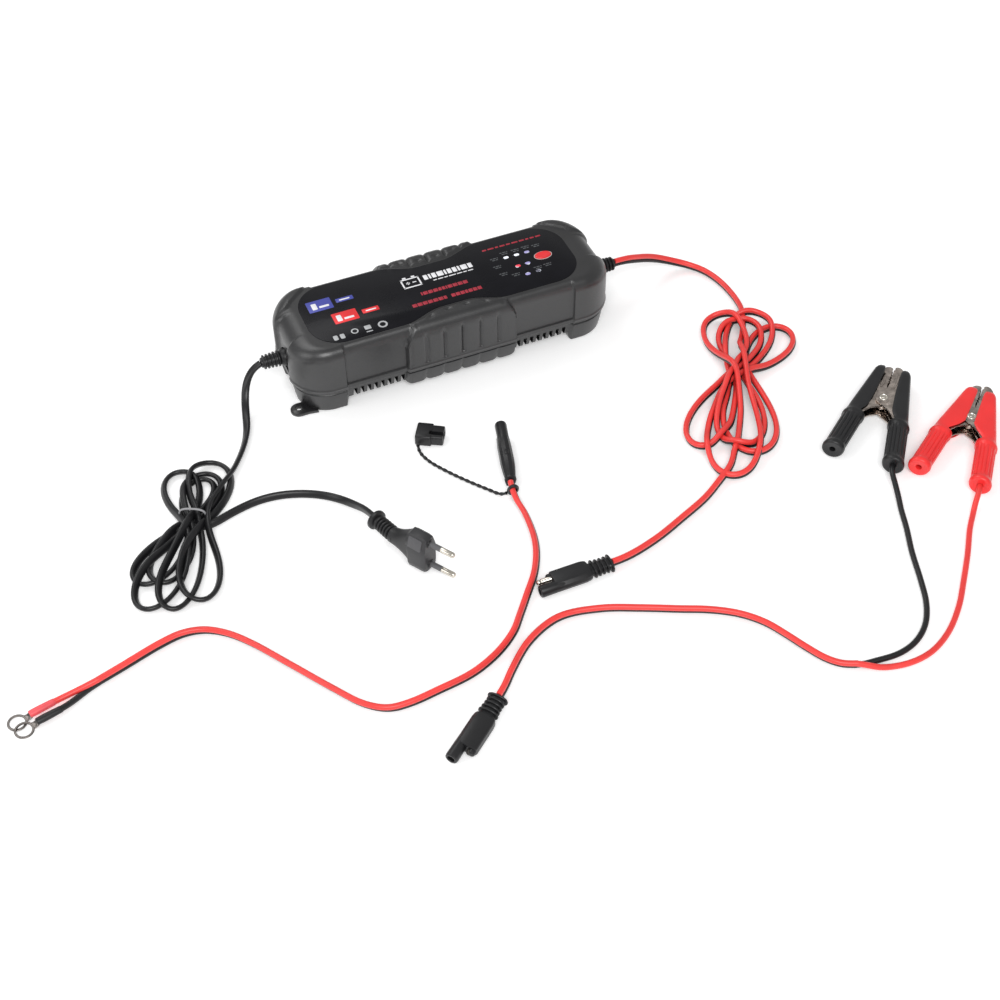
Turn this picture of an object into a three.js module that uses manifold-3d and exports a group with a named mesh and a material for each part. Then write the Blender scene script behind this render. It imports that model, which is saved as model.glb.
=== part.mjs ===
// Bench battery charger with its mains cord, output lead and two battery adapter leads.
// Millimetres, +Z up, +X towards the output end. Origin: middle of the charger's footprint.
import * as THREE from 'three';
import { mergeVertices } from 'three/addons/utils/BufferGeometryUtils.js';
import Module from 'manifold-3d';

const wasm = await Module();
wasm.setup();

// ---------------------------------------------------------------- driving dimensions
const GAP = 0.3; // clearance left between pieces that touch
const CASE = { halfLength: 117, halfWidth: 36, height: 56.5, corner: 24, edge: 7, wall: 2.8, roof: 3 };
const SEAM = 19; // height of the joint between the two shells
const BELLY = 6; // height of the flat underside above the floor
const BUMPER = { halfLength: 119.5, halfWidth: 38, inner: 85, endGap: 13, top: 55.6, edge: 6 };
const GRIP = { half: 41, halfWidth: 39.5, arc: 57, reach: 23.5, top: 57.3, edge: 7, ribs: 6, pitch: 13.4 };
const LABEL = { halfLength: 100, halfWidth: 31, corner: 24, recess: 0.9, thick: 0.5 };
const BUTTON = { x: 77.3, y: -1, halfLong: 6, halfWide: 3.6, proud: 0.9, play: 0.4 };
const WINDOWS = [[51.5, 7], [60, 7], [68.5, 7], [55.5, -5], [64, -5], [59.5, -15], [68, -15]];
const VENT = {
  width: 2.6, height: 7, pitch: 5, bottom: 8.6, left: -80, leftCount: 8, right: 41, rightCount: 9,
};
const EAR = { x: 118, y: 25, radius: 6, thick: 3, hole: 2.3 };
const BOSS = { x: 103, y: 22, radius: 3.6, hole: 1.9 };
const GLAND = { height: 30, hole: 4.7, length: 17.5 };
const BOARD = { halfLength: 95, halfWidth: 28, bottom: 12, thick: 1.6 };
const PANEL_BOARD = { x0: 40, x1: 98, halfWidth: 21, bottom: 44.5, thick: 1.6 };
const CORE = 3.8; // one insulated core of the low-voltage leads
const TWIN = { radius: 3, axis: 3.1 }; // round stand-in for the two cores side by side
const MAINS = { radius: 2.7, axis: 2.8 };
const CONNECTOR = { length: 51, width: 14.6, height: 8.2, axis: 4.4, barePin: 50.2, shortPin: 43.5 };
const CLAMP = { length: 89, grip: 7.7, axis: 7.8, pivot: 55, spread: 20.5 };

// ---------------------------------------------------------------- materials
function material(color, roughness, metalness = 0) {
  return new THREE.MeshStandardMaterial({ color, roughness, metalness });
}
const caseBlack = () => material(0x2b2b2d, 0.55);
const rubberBlack = () => material(0x17171a, 0.6);
const labelBlack = () => material(0x0a0a0c, 0.15);
const buttonRed = () => material(0xc8232b, 0.35);
const cableRed = () => material(0xe04038, 0.45);
const steel = () => material(0xb8b4ac, 0.3, 1);
const aluminium = () => material(0xaab0b4, 0.4, 1);
const boardGreen = () => material(0x1d6a3a, 0.5);
const ferrite = () => material(0x39393c, 0.7);
const copper = () => material(0xb87333, 0.4, 1);
const tieGrey = () => material(0xc9c9c9, 0.5);
const lens = () => material(0xdfe6ee, 0.1);

// ---------------------------------------------------------------- solids and booleans
function solid(geometry) {
  geometry.deleteAttribute('normal');
  geometry.deleteAttribute('uv');
  const merged = mergeVertices(geometry, 1e-4);
  const mesh = new wasm.Mesh({
    numProp: 3,
    vertProperties: new Float32Array(merged.attributes.position.array),
    triVerts: new Uint32Array(merged.index.array),
  });
  return new wasm.Manifold(mesh);
}

function surface(manifold) {
  const mesh = manifold.getMesh();
  const geometry = new THREE.BufferGeometry();
  geometry.setAttribute('position', new THREE.BufferAttribute(mesh.vertProperties, 3));
  geometry.setIndex(new THREE.BufferAttribute(mesh.triVerts, 1));
  return geometry;
}

const join = (first, ...rest) => rest.reduce((sum, piece) => sum.add(piece), first);
const cut = (first, ...rest) => rest.reduce((sum, piece) => sum.subtract(piece), first);

// Corners may be given in either order, so mirrored boxes need no special case.
function box(x0, x1, y0, y1, z0, z1) {
  const geometry = new THREE.BoxGeometry(Math.abs(x1 - x0), Math.abs(y1 - y0), Math.abs(z1 - z0));
  geometry.translate((x0 + x1) / 2, (y0 + y1) / 2, (z0 + z1) / 2);
  return solid(geometry);
}

function post(x, y, radius, z0, z1, sides = 12) {
  const geometry = new THREE.CylinderGeometry(radius, radius, z1 - z0, sides);
  geometry.rotateX(Math.PI / 2);
  geometry.translate(x, y, (z0 + z1) / 2);
  return solid(geometry);
}

// Lathe profile [radius, distance along +X] turned about a line parallel to X.
function turnedX(profile, x, y, z, sides = 12) {
  const geometry = new THREE.LatheGeometry(profile.map(([r, d]) => new THREE.Vector2(r, d)), sides);
  geometry.rotateZ(-Math.PI / 2);
  geometry.translate(x, y, z);
  return solid(geometry);
}

// Lathe profile [radius, height] turned about a vertical line.
function turnedZ(profile, x, y, z, sides = 12) {
  const geometry = new THREE.LatheGeometry(profile.map(([r, h]) => new THREE.Vector2(r, h)), sides);
  geometry.rotateX(Math.PI / 2);
  geometry.translate(x, y, z);
  return solid(geometry);
}

function prism(shape, z0, z1, curveSegments = 4) {
  const geometry = new THREE.ExtrudeGeometry(shape, { depth: z1 - z0, bevelEnabled: false, curveSegments });
  geometry.translate(0, 0, z0);
  return solid(geometry);
}

// A prism whose upper and lower edges are rounded over `thick` in height and `inset` sideways.
function softPrism(shape, z0, z1, thick, inset, steps = 2, curveSegments = 4) {
  const geometry = new THREE.ExtrudeGeometry(shape, {
    depth: z1 - z0 - 2 * thick, bevelThickness: thick, bevelSize: inset, bevelOffset: -inset,
    bevelSegments: steps, curveSegments,
  });
  geometry.translate(0, 0, z0 + thick);
  return solid(geometry);
}

function roundedRect(halfX, halfY, radius, x = 0, y = 0) {
  const shape = new THREE.Shape();
  shape.absarc(x + halfX - radius, y + halfY - radius, radius, 0, Math.PI / 2);
  shape.absarc(x - halfX + radius, y + halfY - radius, radius, Math.PI / 2, Math.PI);
  shape.absarc(x - halfX + radius, y - halfY + radius, radius, Math.PI, 1.5 * Math.PI);
  shape.absarc(x + halfX - radius, y - halfY + radius, radius, 1.5 * Math.PI, 2 * Math.PI);
  return shape;
}

function polygon(points) {
  return new THREE.Shape(points.map(([x, y]) => new THREE.Vector2(x, y)));
}

const charger = new THREE.Group();

function add(name, shape, finish, parent = charger) {
  const mesh = new THREE.Mesh(surface(shape), finish);
  mesh.name = name;
  parent.add(mesh);
  return mesh;
}

// ---------------------------------------------------------------- case shells
const BIG = 200;

// Four corner guards: a slightly larger body kept only round the corners.
function cornerGuards(z0, z1, thick, inset, steps = 2) {
  const outline = roundedRect(BUMPER.halfLength, BUMPER.halfWidth, CASE.corner + 2);
  const middle = box(-BUMPER.inner, BUMPER.inner, -BIG, BIG, -1, BIG);
  const ends = box(-BIG, BIG, -BUMPER.endGap, BUMPER.endGap, -1, BIG);
  const guards = cut(softPrism(outline, z0, z1, thick, inset, steps), middle, ends);
  return cut(guards, prism(roundedRect(95, 27, 22), -1, BIG));
}

// Plan of one hand grip: straight outer side, arc reaching in over the roof.
function gripPlan(side) {
  const start = Math.sqrt(GRIP.arc ** 2 - (GRIP.arc - (GRIP.halfWidth - GRIP.reach)) ** 2);
  const shape = new THREE.Shape();
  const lift = GRIP.reach + GRIP.arc;
  const angle = Math.asin(Math.min(start, GRIP.half) / GRIP.arc);
  shape.moveTo(-GRIP.half, side * (GRIP.halfWidth + 1));
  shape.lineTo(-GRIP.half, side * (lift - GRIP.arc * Math.cos(angle)));
  const middle = side > 0 ? -Math.PI / 2 : Math.PI / 2;
  shape.absarc(0, side * lift, GRIP.arc, middle - side * angle, middle + side * angle, side < 0);
  shape.lineTo(GRIP.half, side * (GRIP.halfWidth + 1));
  return shape;
}

function grips(z0, z1, drop, steps = 2) {
  const outline = roundedRect(GRIP.half + 20, GRIP.halfWidth, 15);
  const section = softPrism(outline, z0, z1, GRIP.edge, drop, steps, 1);
  let both = join(prism(gripPlan(1), z0 - 1, z1 + 1), prism(gripPlan(-1), z0 - 1, z1 + 1)).intersect(section);
  for (let rib = 1; rib < GRIP.ribs; rib += 1) {
    const x = (rib - GRIP.ribs / 2) * GRIP.pitch;
    const groove = (side) => post(x, side * GRIP.halfWidth, 1.5, z0 - 1, z1 + 1, 6);
    both = cut(both, groove(1), groove(-1));
  }
  return both;
}

function ovalShape(x, y, halfLong, halfWide) {
  const shape = new THREE.Shape();
  shape.absellipse(x, y, halfLong, halfWide, 0, 2 * Math.PI);
  return shape;
}

// The printed panel: rounded ends, waisted where the grips reach over the roof.
function labelSolid(z0, z1, shrink) {
  const outline = roundedRect(LABEL.halfLength - shrink, LABEL.halfWidth - shrink, LABEL.corner);
  const waist = (side) => post(0, side * (GRIP.reach + GRIP.arc), GRIP.arc + 1 + shrink, z0 - 1, z1 + 1, 48);
  return cut(prism(outline, z0, z1), waist(1), waist(-1));
}

const bossPlaces = [[-1, -1], [1, -1], [1, 1], [-1, 1]].map(([a, b]) => [a * BOSS.x, b * BOSS.y]);
const inner = (shrink) => roundedRect(
  CASE.halfLength - CASE.wall - shrink, CASE.halfWidth - CASE.wall - shrink, CASE.corner - CASE.wall,
);
const buttonOval = (extra) => ovalShape(BUTTON.x, BUTTON.y, BUTTON.halfLong + extra, BUTTON.halfWide + extra);
const buttonOpening = () => prism(buttonOval(BUTTON.play), 50, BIG);

function glandHole(side) {
  const x = side * CASE.halfLength;
  return turnedX([[0, -8], [GLAND.hole, -8], [GLAND.hole, 8], [0, 8]], x, 0, GLAND.height, 16);
}

function upperCase() {
  const plan = roundedRect(CASE.halfLength, CASE.halfWidth, CASE.corner);
  const core = softPrism(plan, -20, CASE.height, CASE.edge, CASE.edge);
  const guards = cornerGuards(-20, BUMPER.top, BUMPER.edge, BUMPER.edge);
  let shell = join(core, guards, grips(-20, GRIP.top, GRIP.edge));
  shell = shell.intersect(box(-BIG, BIG, -BIG, BIG, SEAM + GAP / 2, BIG));
  shell = cut(shell, prism(inner(0), 0, CASE.height - CASE.roof));
  const postTop = CASE.height - CASE.roof + 1;
  const posts = bossPlaces.map(([x, y]) => post(x, y, BOSS.radius, SEAM + GAP / 2, postTop));
  const panelTop = PANEL_BOARD.bottom + PANEL_BOARD.thick + GAP;
  const panelPosts = [-1, 1].map((side) => post(45, side * 16, 2.6, panelTop, CASE.height - 2, 8));
  shell = join(shell, ...posts, ...panelPosts);
  const pilots = bossPlaces.map(([x, y]) => post(x, y, BOSS.hole, SEAM - 1, 34, 12));
  const windows = WINDOWS.map(([x, y]) => post(x, y, 1.6, 50, BIG, 8));
  const labelRecess = labelSolid(CASE.height - LABEL.recess, BIG, 0);
  return cut(shell, labelRecess, buttonOpening(), glandHole(-1), glandHole(1), ...pilots, ...windows);
}

function vents(side) {
  const slot = (x) => box(x, x + VENT.width, side * 26, side * 44, VENT.bottom, VENT.bottom + VENT.height);
  const row = (start, count) => Array.from({ length: count }, (_, i) => slot(start + i * VENT.pitch));
  return [...row(VENT.left, VENT.leftCount), ...row(VENT.right, VENT.rightCount)];
}

function mountingEar(side) {
  const [x, y] = [side * EAR.x, side * EAR.y];
  return join(post(x, y, EAR.radius, 0, EAR.thick, 24),
    box(x, x - side * 16, y - EAR.radius, y + EAR.radius, 0, EAR.thick));
}

function lowerCase() {
  const lower = { taper: 4.6, round: 12 };
  const outline = roundedRect(CASE.halfLength, CASE.halfWidth, CASE.corner);
  const core = softPrism(outline, BELLY, 60, lower.round, lower.taper, 1);
  let shell = join(core, cornerGuards(0, 60, lower.round, lower.taper, 1), grips(BELLY - 2, 60, 4, 1));
  shell = shell.intersect(box(-BIG, BIG, -BIG, BIG, -1, SEAM - GAP / 2));
  shell = cut(shell, prism(inner(2), BELLY + 2.6, BIG));
  const pillars = bossPlaces.map(([x, y]) => post(x, y, BOSS.radius + 0.8, BELLY + 1, SEAM - GAP / 2));
  const corners = [[-1, -1], [1, -1], [1, 1], [-1, 1]];
  const standoffs = corners.map(([a, b]) => post(a * 86, b * 22, 3, BELLY + 1, BOARD.bottom - GAP, 8));
  shell = join(shell, ...pillars, ...standoffs, mountingEar(-1), mountingEar(1));
  const screwHoles = bossPlaces.flatMap(([x, y]) => [
    post(x, y, BOSS.hole, -1, BIG, 10),
    post(x, y, 3.4, -1, 9, 12),
  ]);
  const earHoles = [-1, 1].map((s) => post(s * EAR.x, s * EAR.y, EAR.hole, -1, EAR.thick + 1, 16));
  return cut(shell, ...screwHoles, ...earHoles, ...vents(-1), ...vents(1));
}

function caseScrew(x, y) {
  return turnedZ([[0, 6.4], [2.9, 6.4], [2.9, 8.7], [1.5, 8.7], [1.5, 32], [0, 33.2]], x, y, 0, 12);
}

// ---------------------------------------------------------------- top panel
function frontLabel() {
  const z0 = CASE.height - LABEL.recess + GAP;
  const windows = WINDOWS.map(([x, y]) => post(x, y, 1.6, 50, BIG, 8));
  return cut(labelSolid(z0, z0 + LABEL.thick, 0.4), buttonOpening(), ...windows);
}

function modeButton() {
  const top = CASE.height + BUTTON.proud;
  const cap = softPrism(buttonOval(0), 51.2, top, 0.6, 0.6, 2, 6);
  const flange = prism(buttonOval(1.6), 51.8, 53.1, 6);
  return join(cap, flange);
}

function lightGuide() {
  const plate = box(48.4, 67.2, -19, 11, 50.4, 51.4);
  const tail = box(60, 72.5, -19, -11, 50.4, 51.4);
  const head = box(60, 72.5, 3, 11, 50.4, 51.4);
  return join(plate, tail, head, ...WINDOWS.map(([x, y]) => post(x, y, 1.3, 50.9, CASE.height - 0.1, 8)));
}

function buttonSwitch() {
  const base = PANEL_BOARD.bottom + PANEL_BOARD.thick + GAP;
  return join(box(BUTTON.x - 3, BUTTON.x + 3, BUTTON.y - 3, BUTTON.y + 3, base, base + 3),
    post(BUTTON.x, BUTTON.y, 1.7, base + 2, base + 3.8, 12));
}

// ---------------------------------------------------------------- electronics
const boardTop = BOARD.bottom + BOARD.thick + GAP;

function transformerCore(x) {
  const windows = [-1, 1].map((side) => {
    const leg = 5;
    return box(x + side * leg, x + side * (leg + 8.5), -10, 10, boardTop + 6, boardTop + 26);
  });
  return cut(box(x - 19, x + 19, -6, 6, boardTop, boardTop + 32), ...windows);
}

function transformerWinding(x) {
  return cut(prism(roundedRect(13.1, 14, 5, x, 0), boardTop + 6.4, boardTop + 25.6),
    prism(roundedRect(5.4, 6.4, 1, x, 0), 0, 60));
}

function heatSink(x) {
  const top = boardTop + 28;
  const fins = [-30, -16, -2, 12, 26].map((start) => box(x + start, x + start + 2, 12, 25, boardTop, top));
  return join(box(x - 30, x + 30, 22, 25, boardTop, top), ...fins);
}

function powerTransistor(x) {
  const body = box(x - 5, x + 5, 16.8, 21.3, boardTop + 12, boardTop + 22);
  const leg = (dx) => box(x + dx - 0.5, x + dx + 0.5, 18.4, 19.2, boardTop, boardTop + 13);
  const legs = [-2.5, 0, 2.5].map(leg);
  return join(body, box(x - 5, x + 5, 20.4, 21.3, boardTop + 20, boardTop + 27), ...legs);
}

function capacitor(x, y, radius, height) {
  const rim = 0.8;
  const profile = [[0, 0], [radius, 0], [radius, height - 5 * rim], [radius - rim, height - 4 * rim],
    [radius, height - 3 * rim], [radius, height - rim], [radius - rim, height], [0, height]];
  return turnedZ(profile, x, y, boardTop, 18);
}

function filterChoke(x, y) {
  const geometry = new THREE.TorusGeometry(9, 4.6, 8, 14);
  geometry.translate(x, y, boardTop + 4.6);
  return solid(geometry);
}

function fuse(x, y) {
  const profile = [[0, -10], [2.6, -10], [2.6, -5], [2.3, -5], [2.3, 5], [2.6, 5], [2.6, 10], [0, 10]];
  return turnedX(profile, x, y, boardTop + 2.7, 12);
}

// ---------------------------------------------------------------- strain reliefs on the case
// Flange inside the wall, neck through it, then a collar and a ribbed taper outside.
function strainRelief(side) {
  const start = CASE.halfLength;
  const ribs = [];
  for (let i = 0; i < 3; i += 1) {
    const at = 4.2 + i * 4.3;
    const [ribRadius, waistRadius] = [5.8 - i * 0.6, 4.5 - i * 0.3];
    ribs.push([ribRadius, at], [ribRadius, at + 2.6], [waistRadius, at + 2.6], [waistRadius, at + 4.3]);
  }
  const profile = [[0, -5.6], [6.2, -5.6], [6.2, -3.1], [4.4, -3.1], [4.4, 0.4], [7, 0.4], [6.6, 3.2], ...ribs,
    [3.6, GLAND.length], [0, GLAND.length]];
  const relief = turnedX(profile, 0, 0, 0);
  const turned = side > 0 ? relief : relief.rotate([0, 0, 180]);
  return turned.translate([side * start, 0, GLAND.height]);
}

// ---------------------------------------------------------------- cords
function cordTube(points, radius, steps, sides = 8) {
  const route = points.map(([x, y, z]) => new THREE.Vector3(x, y, z));
  const path = new THREE.CatmullRomCurve3(route, false, 'centripetal');
  const section = new THREE.Shape();
  for (let i = 0; i < sides; i += 1) {
    const angle = ((i + 0.5) / sides) * 2 * Math.PI;
    const [u, v] = [radius * Math.cos(angle), radius * Math.sin(angle)];
    if (i === 0) section.moveTo(u, v);
    else section.lineTo(u, v);
  }
  section.closePath();
  return solid(new THREE.ExtrudeGeometry(section, { steps, bevelEnabled: false, extrudePath: path }));
}

// Outer shape of a tied hank: two round-ended fans of loops meeting at a waist.
function hank(outline, height) {
  const curve = new THREE.SplineCurve(outline.map(([x, y]) => new THREE.Vector2(x, y)));
  return prism(new THREE.Shape(curve.getPoints(outline.length * 2)), 0, height);
}

// A closed band round the waist of the hank, standing across its axis.
function tieBand(x, y, angle, halfWidth, height) {
  const ring = cut(prism(roundedRect(halfWidth + 1, height / 2, 4), 0, 2.4, 4),
    prism(roundedRect(halfWidth, height / 2 - 0.9, 3.2), -1, 4, 4));
  return ring.rotate([90, 0, 0]).rotate([0, 0, angle - 90]).translate([x, y, height / 2]);
}

// ---------------------------------------------------------------- mains plug
const PLUG = { half: 16.5, thick: 13.6, pinGap: 9.4, pinLength: 19, pinRadius: 2, bend: -14 };

// Local frame: +X along the pins, contact face at x = 0, standing on its narrow edge.
function plugBody() {
  const half = PLUG.half;
  const side = polygon([[0, -half + 3], [-3, -half], [-16, -half], [-27, -7], [-29, -6], [-29, 6], [-27, 7],
    [-16, half], [-3, half], [0, half - 3]]);
  const geometry = new THREE.ExtrudeGeometry(side, {
    depth: PLUG.thick - 3, bevelThickness: 1.5, bevelSize: 1.5, bevelOffset: -1.5, bevelSegments: 1,
  });
  geometry.translate(0, 0, 1.5 - PLUG.thick / 2);
  geometry.rotateX(Math.PI / 2);
  const ribs = [3, 6.2, 9.4].flatMap((at) => [[5.4, at], [5.4, at + 1.8], [4.4, at + 1.8], [4.4, at + 3.2]]);
  const relief = turnedX([[0, -3], [5.6, -3], ...ribs, [6.6, 12.6], [6.6, 15.2], [0, 15.2]], 0, 0, 0, 10);
  const turned = relief.rotate([0, 0, 180 + PLUG.bend]).translate([-28, 0, 0]);
  const bore = PLUG.pinRadius + GAP;
  const socket = (side) => turnedX([[0, -8], [bore, -8], [bore, 1], [0, 1]], 0, 0, side * PLUG.pinGap, 10);
  return cut(join(solid(geometry), turned), socket(1), socket(-1));
}

function plugPin(side) {
  const [radius, tip] = [PLUG.pinRadius, PLUG.pinLength];
  const profile = [[0, -7.6], [radius, -7.6], [radius, tip - 1.2], [radius - 0.9, tip], [0, tip]];
  return turnedX(profile, 0, 0, side * PLUG.pinGap, 10);
}

// ---------------------------------------------------------------- two-pole connectors
const POLE = 3.5; // each pole's distance from the connector's middle line

// Local frame: +X from the cable end to the contact end, lying flat.
function connectorBody() {
  const ribs = [0, 4.6, 9.2].flatMap((at) => [[6.2, at], [6.2, at + 2.6], [4.6, at + 2.6], [4.6, at + 4.6]]);
  const relief = turnedX([[0, 0], ...ribs, [4.6, 15], [0, 15]], 0, 0, 0, 10).scale([1, 1, 0.62]);
  const body = softPrism(roundedRect(13.3, CONNECTOR.width / 2, 1.6, 27.2, 0), -CONNECTOR.height / 2,
    CONNECTOR.height / 2, 1.2, 1.2, 1, 2);
  const barrelProfile = [[0, 38], [3.8, 38], [3.8, CONNECTOR.length], [0, CONNECTOR.length]];
  const barrel = turnedX(barrelProfile, 0, -POLE, 0, 14);
  const socket = turnedX([[0, 41], [2.3, 41], [2.3, 60], [0, 60]], 0, -POLE, 0, 8);
  const pinSeat = turnedX([[0, 34], [2.3, 34], [2.3, 60], [0, 60]], 0, POLE, 0, 8);
  return cut(join(relief, body, barrel), socket, pinSeat);
}

// The contact of the other pole: a bare pin, or a short one that only just shows.
function connectorPin(tip) {
  return turnedX([[0, 34.3], [1.9, 34.3], [1.9, tip - 1.6], [1.2, tip], [0, tip]], 0, POLE, 0, 8);
}

function addConnector(name, x, y, z, azimuth, roll, pinTip) {
  const group = new THREE.Group();
  group.position.set(x, y, z);
  group.rotation.set(THREE.MathUtils.degToRad(roll), 0, THREE.MathUtils.degToRad(azimuth), 'ZYX');
  charger.add(group);
  add(name, connectorBody(), rubberBlack(), group);
  add(`${name}_pin`, connectorPin(pinTip), steel(), group);
}

// Push-on cover: a block with a bore for the pin and a channel for the shrouded pole.
function connectorCap() {
  const block = join(softPrism(roundedRect(5.5, 7.4, 1.5, 5.5, 0), -4.6, 4.6, 1, 1, 1, 2),
    prism(roundedRect(9.5, 6.2, 1.2, 9.5, 0), -4.1, 4.1, 2));
  const bore = turnedX([[0, 5], [2.4, 5], [2.4, 30], [0, 30]], 0, 3, 0, 10);
  return cut(block, bore, box(9, 30, -3.6, -0.4, -1, 10));
}

// ---------------------------------------------------------------- ring terminals
const RING = { hole: 4.2, outer: 6, thick: 1, reach: 19 };

// Local frame: ring centred on the origin, crimp barrel along -X.
function ringTerminal() {
  const plate = join(post(0, 0, RING.outer, 0, RING.thick, 28), box(-10, -5, -2.2, 2.2, 0, RING.thick));
  const barrel = turnedX([[0, -RING.reach], [2.2, -RING.reach], [2.2, -8.6], [0, -8.6]], 0, 0, 2.2, 14);
  return cut(join(plate, barrel), post(0, 0, RING.hole, -1, 5, 28));
}

function addRingTerminal(name, x, y, z, azimuth) {
  const mesh = add(name, ringTerminal(), steel());
  mesh.position.set(x, y, z);
  mesh.rotation.z = THREE.MathUtils.degToRad(azimuth);
}

// ---------------------------------------------------------------- battery clamps
// Local frame: +X from the handles to the jaws, +Y towards the moving arm, pivot axis vertical.
const CHEEK = { fixed: 5.8, moving: 4.4 }; // half height of each arm's channel
const armTilt = Math.atan2(12, CLAMP.length);
const armLine = (x) => CLAMP.spread - Math.tan(armTilt) * x;

function armPlan(side) {
  const { pivot } = CLAMP;
  const points = [[4, armLine(4) + 1.6], [87, armLine(87) - 1], [87, 0.8], [72, 0.8], [pivot + 6, -1],
    [pivot + 3, -5], [pivot - 3, -5], [pivot - 7, -1], [pivot - 13, 7], [26, armLine(26) - 3],
    [4, armLine(4) - 3]];
  return polygon(points.map(([x, y]) => [x, side * y]));
}

// Stamped channel: two cheeks joined by a spine along the outer edge.
function clampArm(side, cheek) {
  const z = CLAMP.axis;
  const slab = prism(armPlan(side), z - cheek, z + cheek);
  const jawStart = 74;
  const opening = [[-2, armLine(-2) + 0.2], [jawStart, armLine(jawStart) - 1.8], [jawStart, -12], [-2, -12]];
  const window = polygon(opening.map(([x, y]) => [x, side * y]));
  const channel = cut(slab, prism(window, z - cheek + 1, z + cheek - 1));
  return cut(channel, post(CLAMP.pivot, 0, 2.1, 0, 20, 16));
}

// Moulded sleeve: round handle, shoulder, and a flat cover along the jaw.
function clampGrip(side, wide) {
  const z = CLAMP.axis;
  const handle = turnedX([[0, 0], [6.4, 0], [CLAMP.grip, 1.4], [CLAMP.grip, 40], [0, 40]], 0, 0, 0, 16);
  const tilt = (-side * armTilt * 180) / Math.PI;
  const placed = handle.rotate([0, 0, tilt]).translate([-1, side * armLine(-1), z]);
  const shoulder = armLine(40);
  const innerEdge = wide ? [[88, 2.2], [52, 2.2], [44, 6.5]] : [[88, 3.6], [62, 6.2], [46, 7.6]];
  const cover = polygon([[36, shoulder + 6.2], [84, armLine(84) + 3.6], [89, armLine(89) + 1.6], ...innerEdge,
    [36, shoulder - 5]].map(([x, y]) => [x, side * y]));
  const sleeve = join(placed, prism(cover, 0.6, 2 * z - 0.6));
  const room = polygon([[2, armLine(2) + 2.2], [87.6, armLine(87.6) - 0.4], [87.6, -9], [CLAMP.pivot - 16, -9],
    [25, armLine(25) - 3.6], [2, armLine(2) - 3.6]].map(([x, y]) => [x, side * y]));
  const pocket = prism(room, z - CHEEK.fixed - GAP, z + CHEEK.fixed + GAP);
  return cut(sleeve, pocket, post(CLAMP.pivot, 0, 3.8, -1, 20, 20));
}

function pivotPin() {
  const profile = [[0, -6.9], [3.2, -6.9], [3.2, -6.2], [1.8, -6.2], [1.8, 6.2], [3.2, 6.2], [3.2, 6.9],
    [0, 6.9]];
  return turnedZ(profile, CLAMP.pivot, 0, CLAMP.axis, 16);
}

// Torsion spring: coil round the pin and one leg resting inside each arm.
function clampSpring() {
  const z = CLAMP.axis;
  const coil = cut(post(CLAMP.pivot, 0, 4.2, z - 3, z + 3, 16), post(CLAMP.pivot, 0, 2.4, 0, 20, 16));
  const leg = (side, height) => {
    const rod = [[CLAMP.pivot, 4.1], [CLAMP.pivot - 3, 2.6], [36, armLine(36) - 3], [34, armLine(34) - 2.4],
      [34, armLine(34) - 1.3], [37, armLine(37) - 1.7]];
    return prism(polygon(rod.map(([x, y]) => [x, side * y])), z + height, z + height + 1.4);
  };
  return cut(join(coil, leg(1, 1.4), leg(-1, -2.8)), post(CLAMP.pivot, 0, 2.4, 0, 20, 16));
}

function addClamp(prefix, x, y, azimuth, finish, wide) {
  const group = new THREE.Group();
  group.position.set(x, y, 0);
  group.rotation.z = THREE.MathUtils.degToRad(azimuth);
  charger.add(group);
  add(`${prefix}_clamp_fixed_arm`, clampArm(-1, CHEEK.fixed), steel(), group);
  add(`${prefix}_clamp_moving_arm`, clampArm(1, CHEEK.moving), steel(), group);
  add(`${prefix}_clamp_fixed_grip`, clampGrip(-1, wide), finish, group);
  add(`${prefix}_clamp_moving_grip`, clampGrip(1, wide), finish, group);
  add(`${prefix}_clamp_pivot_pin`, pivotPin(), steel(), group);
  add(`${prefix}_clamp_spring`, clampSpring(), steel(), group);
}

// ---------------------------------------------------------------- assembly: charger
add('upper_case', upperCase(), caseBlack());
add('lower_case', lowerCase(), caseBlack());
add('front_label', frontLabel(), labelBlack());
add('mode_button', modeButton(), buttonRed());
add('light_guide', lightGuide(), lens());
add('display_board', box(PANEL_BOARD.x0, PANEL_BOARD.x1, -PANEL_BOARD.halfWidth, PANEL_BOARD.halfWidth,
  PANEL_BOARD.bottom, PANEL_BOARD.bottom + PANEL_BOARD.thick), boardGreen());
add('button_switch', buttonSwitch(), rubberBlack());
add('circuit_board', box(-BOARD.halfLength, BOARD.halfLength, -BOARD.halfWidth, BOARD.halfWidth,
  BOARD.bottom, BOARD.bottom + BOARD.thick), boardGreen());
add('transformer_core', transformerCore(0), ferrite());
add('transformer_winding', transformerWinding(0), copper());
add('heat_sink', heatSink(60), aluminium());
add('power_transistor', powerTransistor(60 - 30 + 14 + 8), rubberBlack());
add('bulk_capacitor', capacitor(-45, 10, 9, 28), rubberBlack());
add('output_capacitor', capacitor(40, -14, 5, 20), rubberBlack());
add('filter_choke', filterChoke(-72, 8), copper());
add('fuse', fuse(-76, -18), lens());
add('mains_strain_relief', strainRelief(-1), rubberBlack());
add('output_strain_relief', strainRelief(1), rubberBlack());
bossPlaces.forEach(([x, y], index) => add(`case_screw_${index + 1}`, caseScrew(x, y), steel()));

// ---------------------------------------------------------------- assembly: mains cord
const glandTip = CASE.halfLength + GLAND.length + GAP;
const floorRun = (axis, points) => points.map(([x, y]) => [x, y, axis]);

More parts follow.
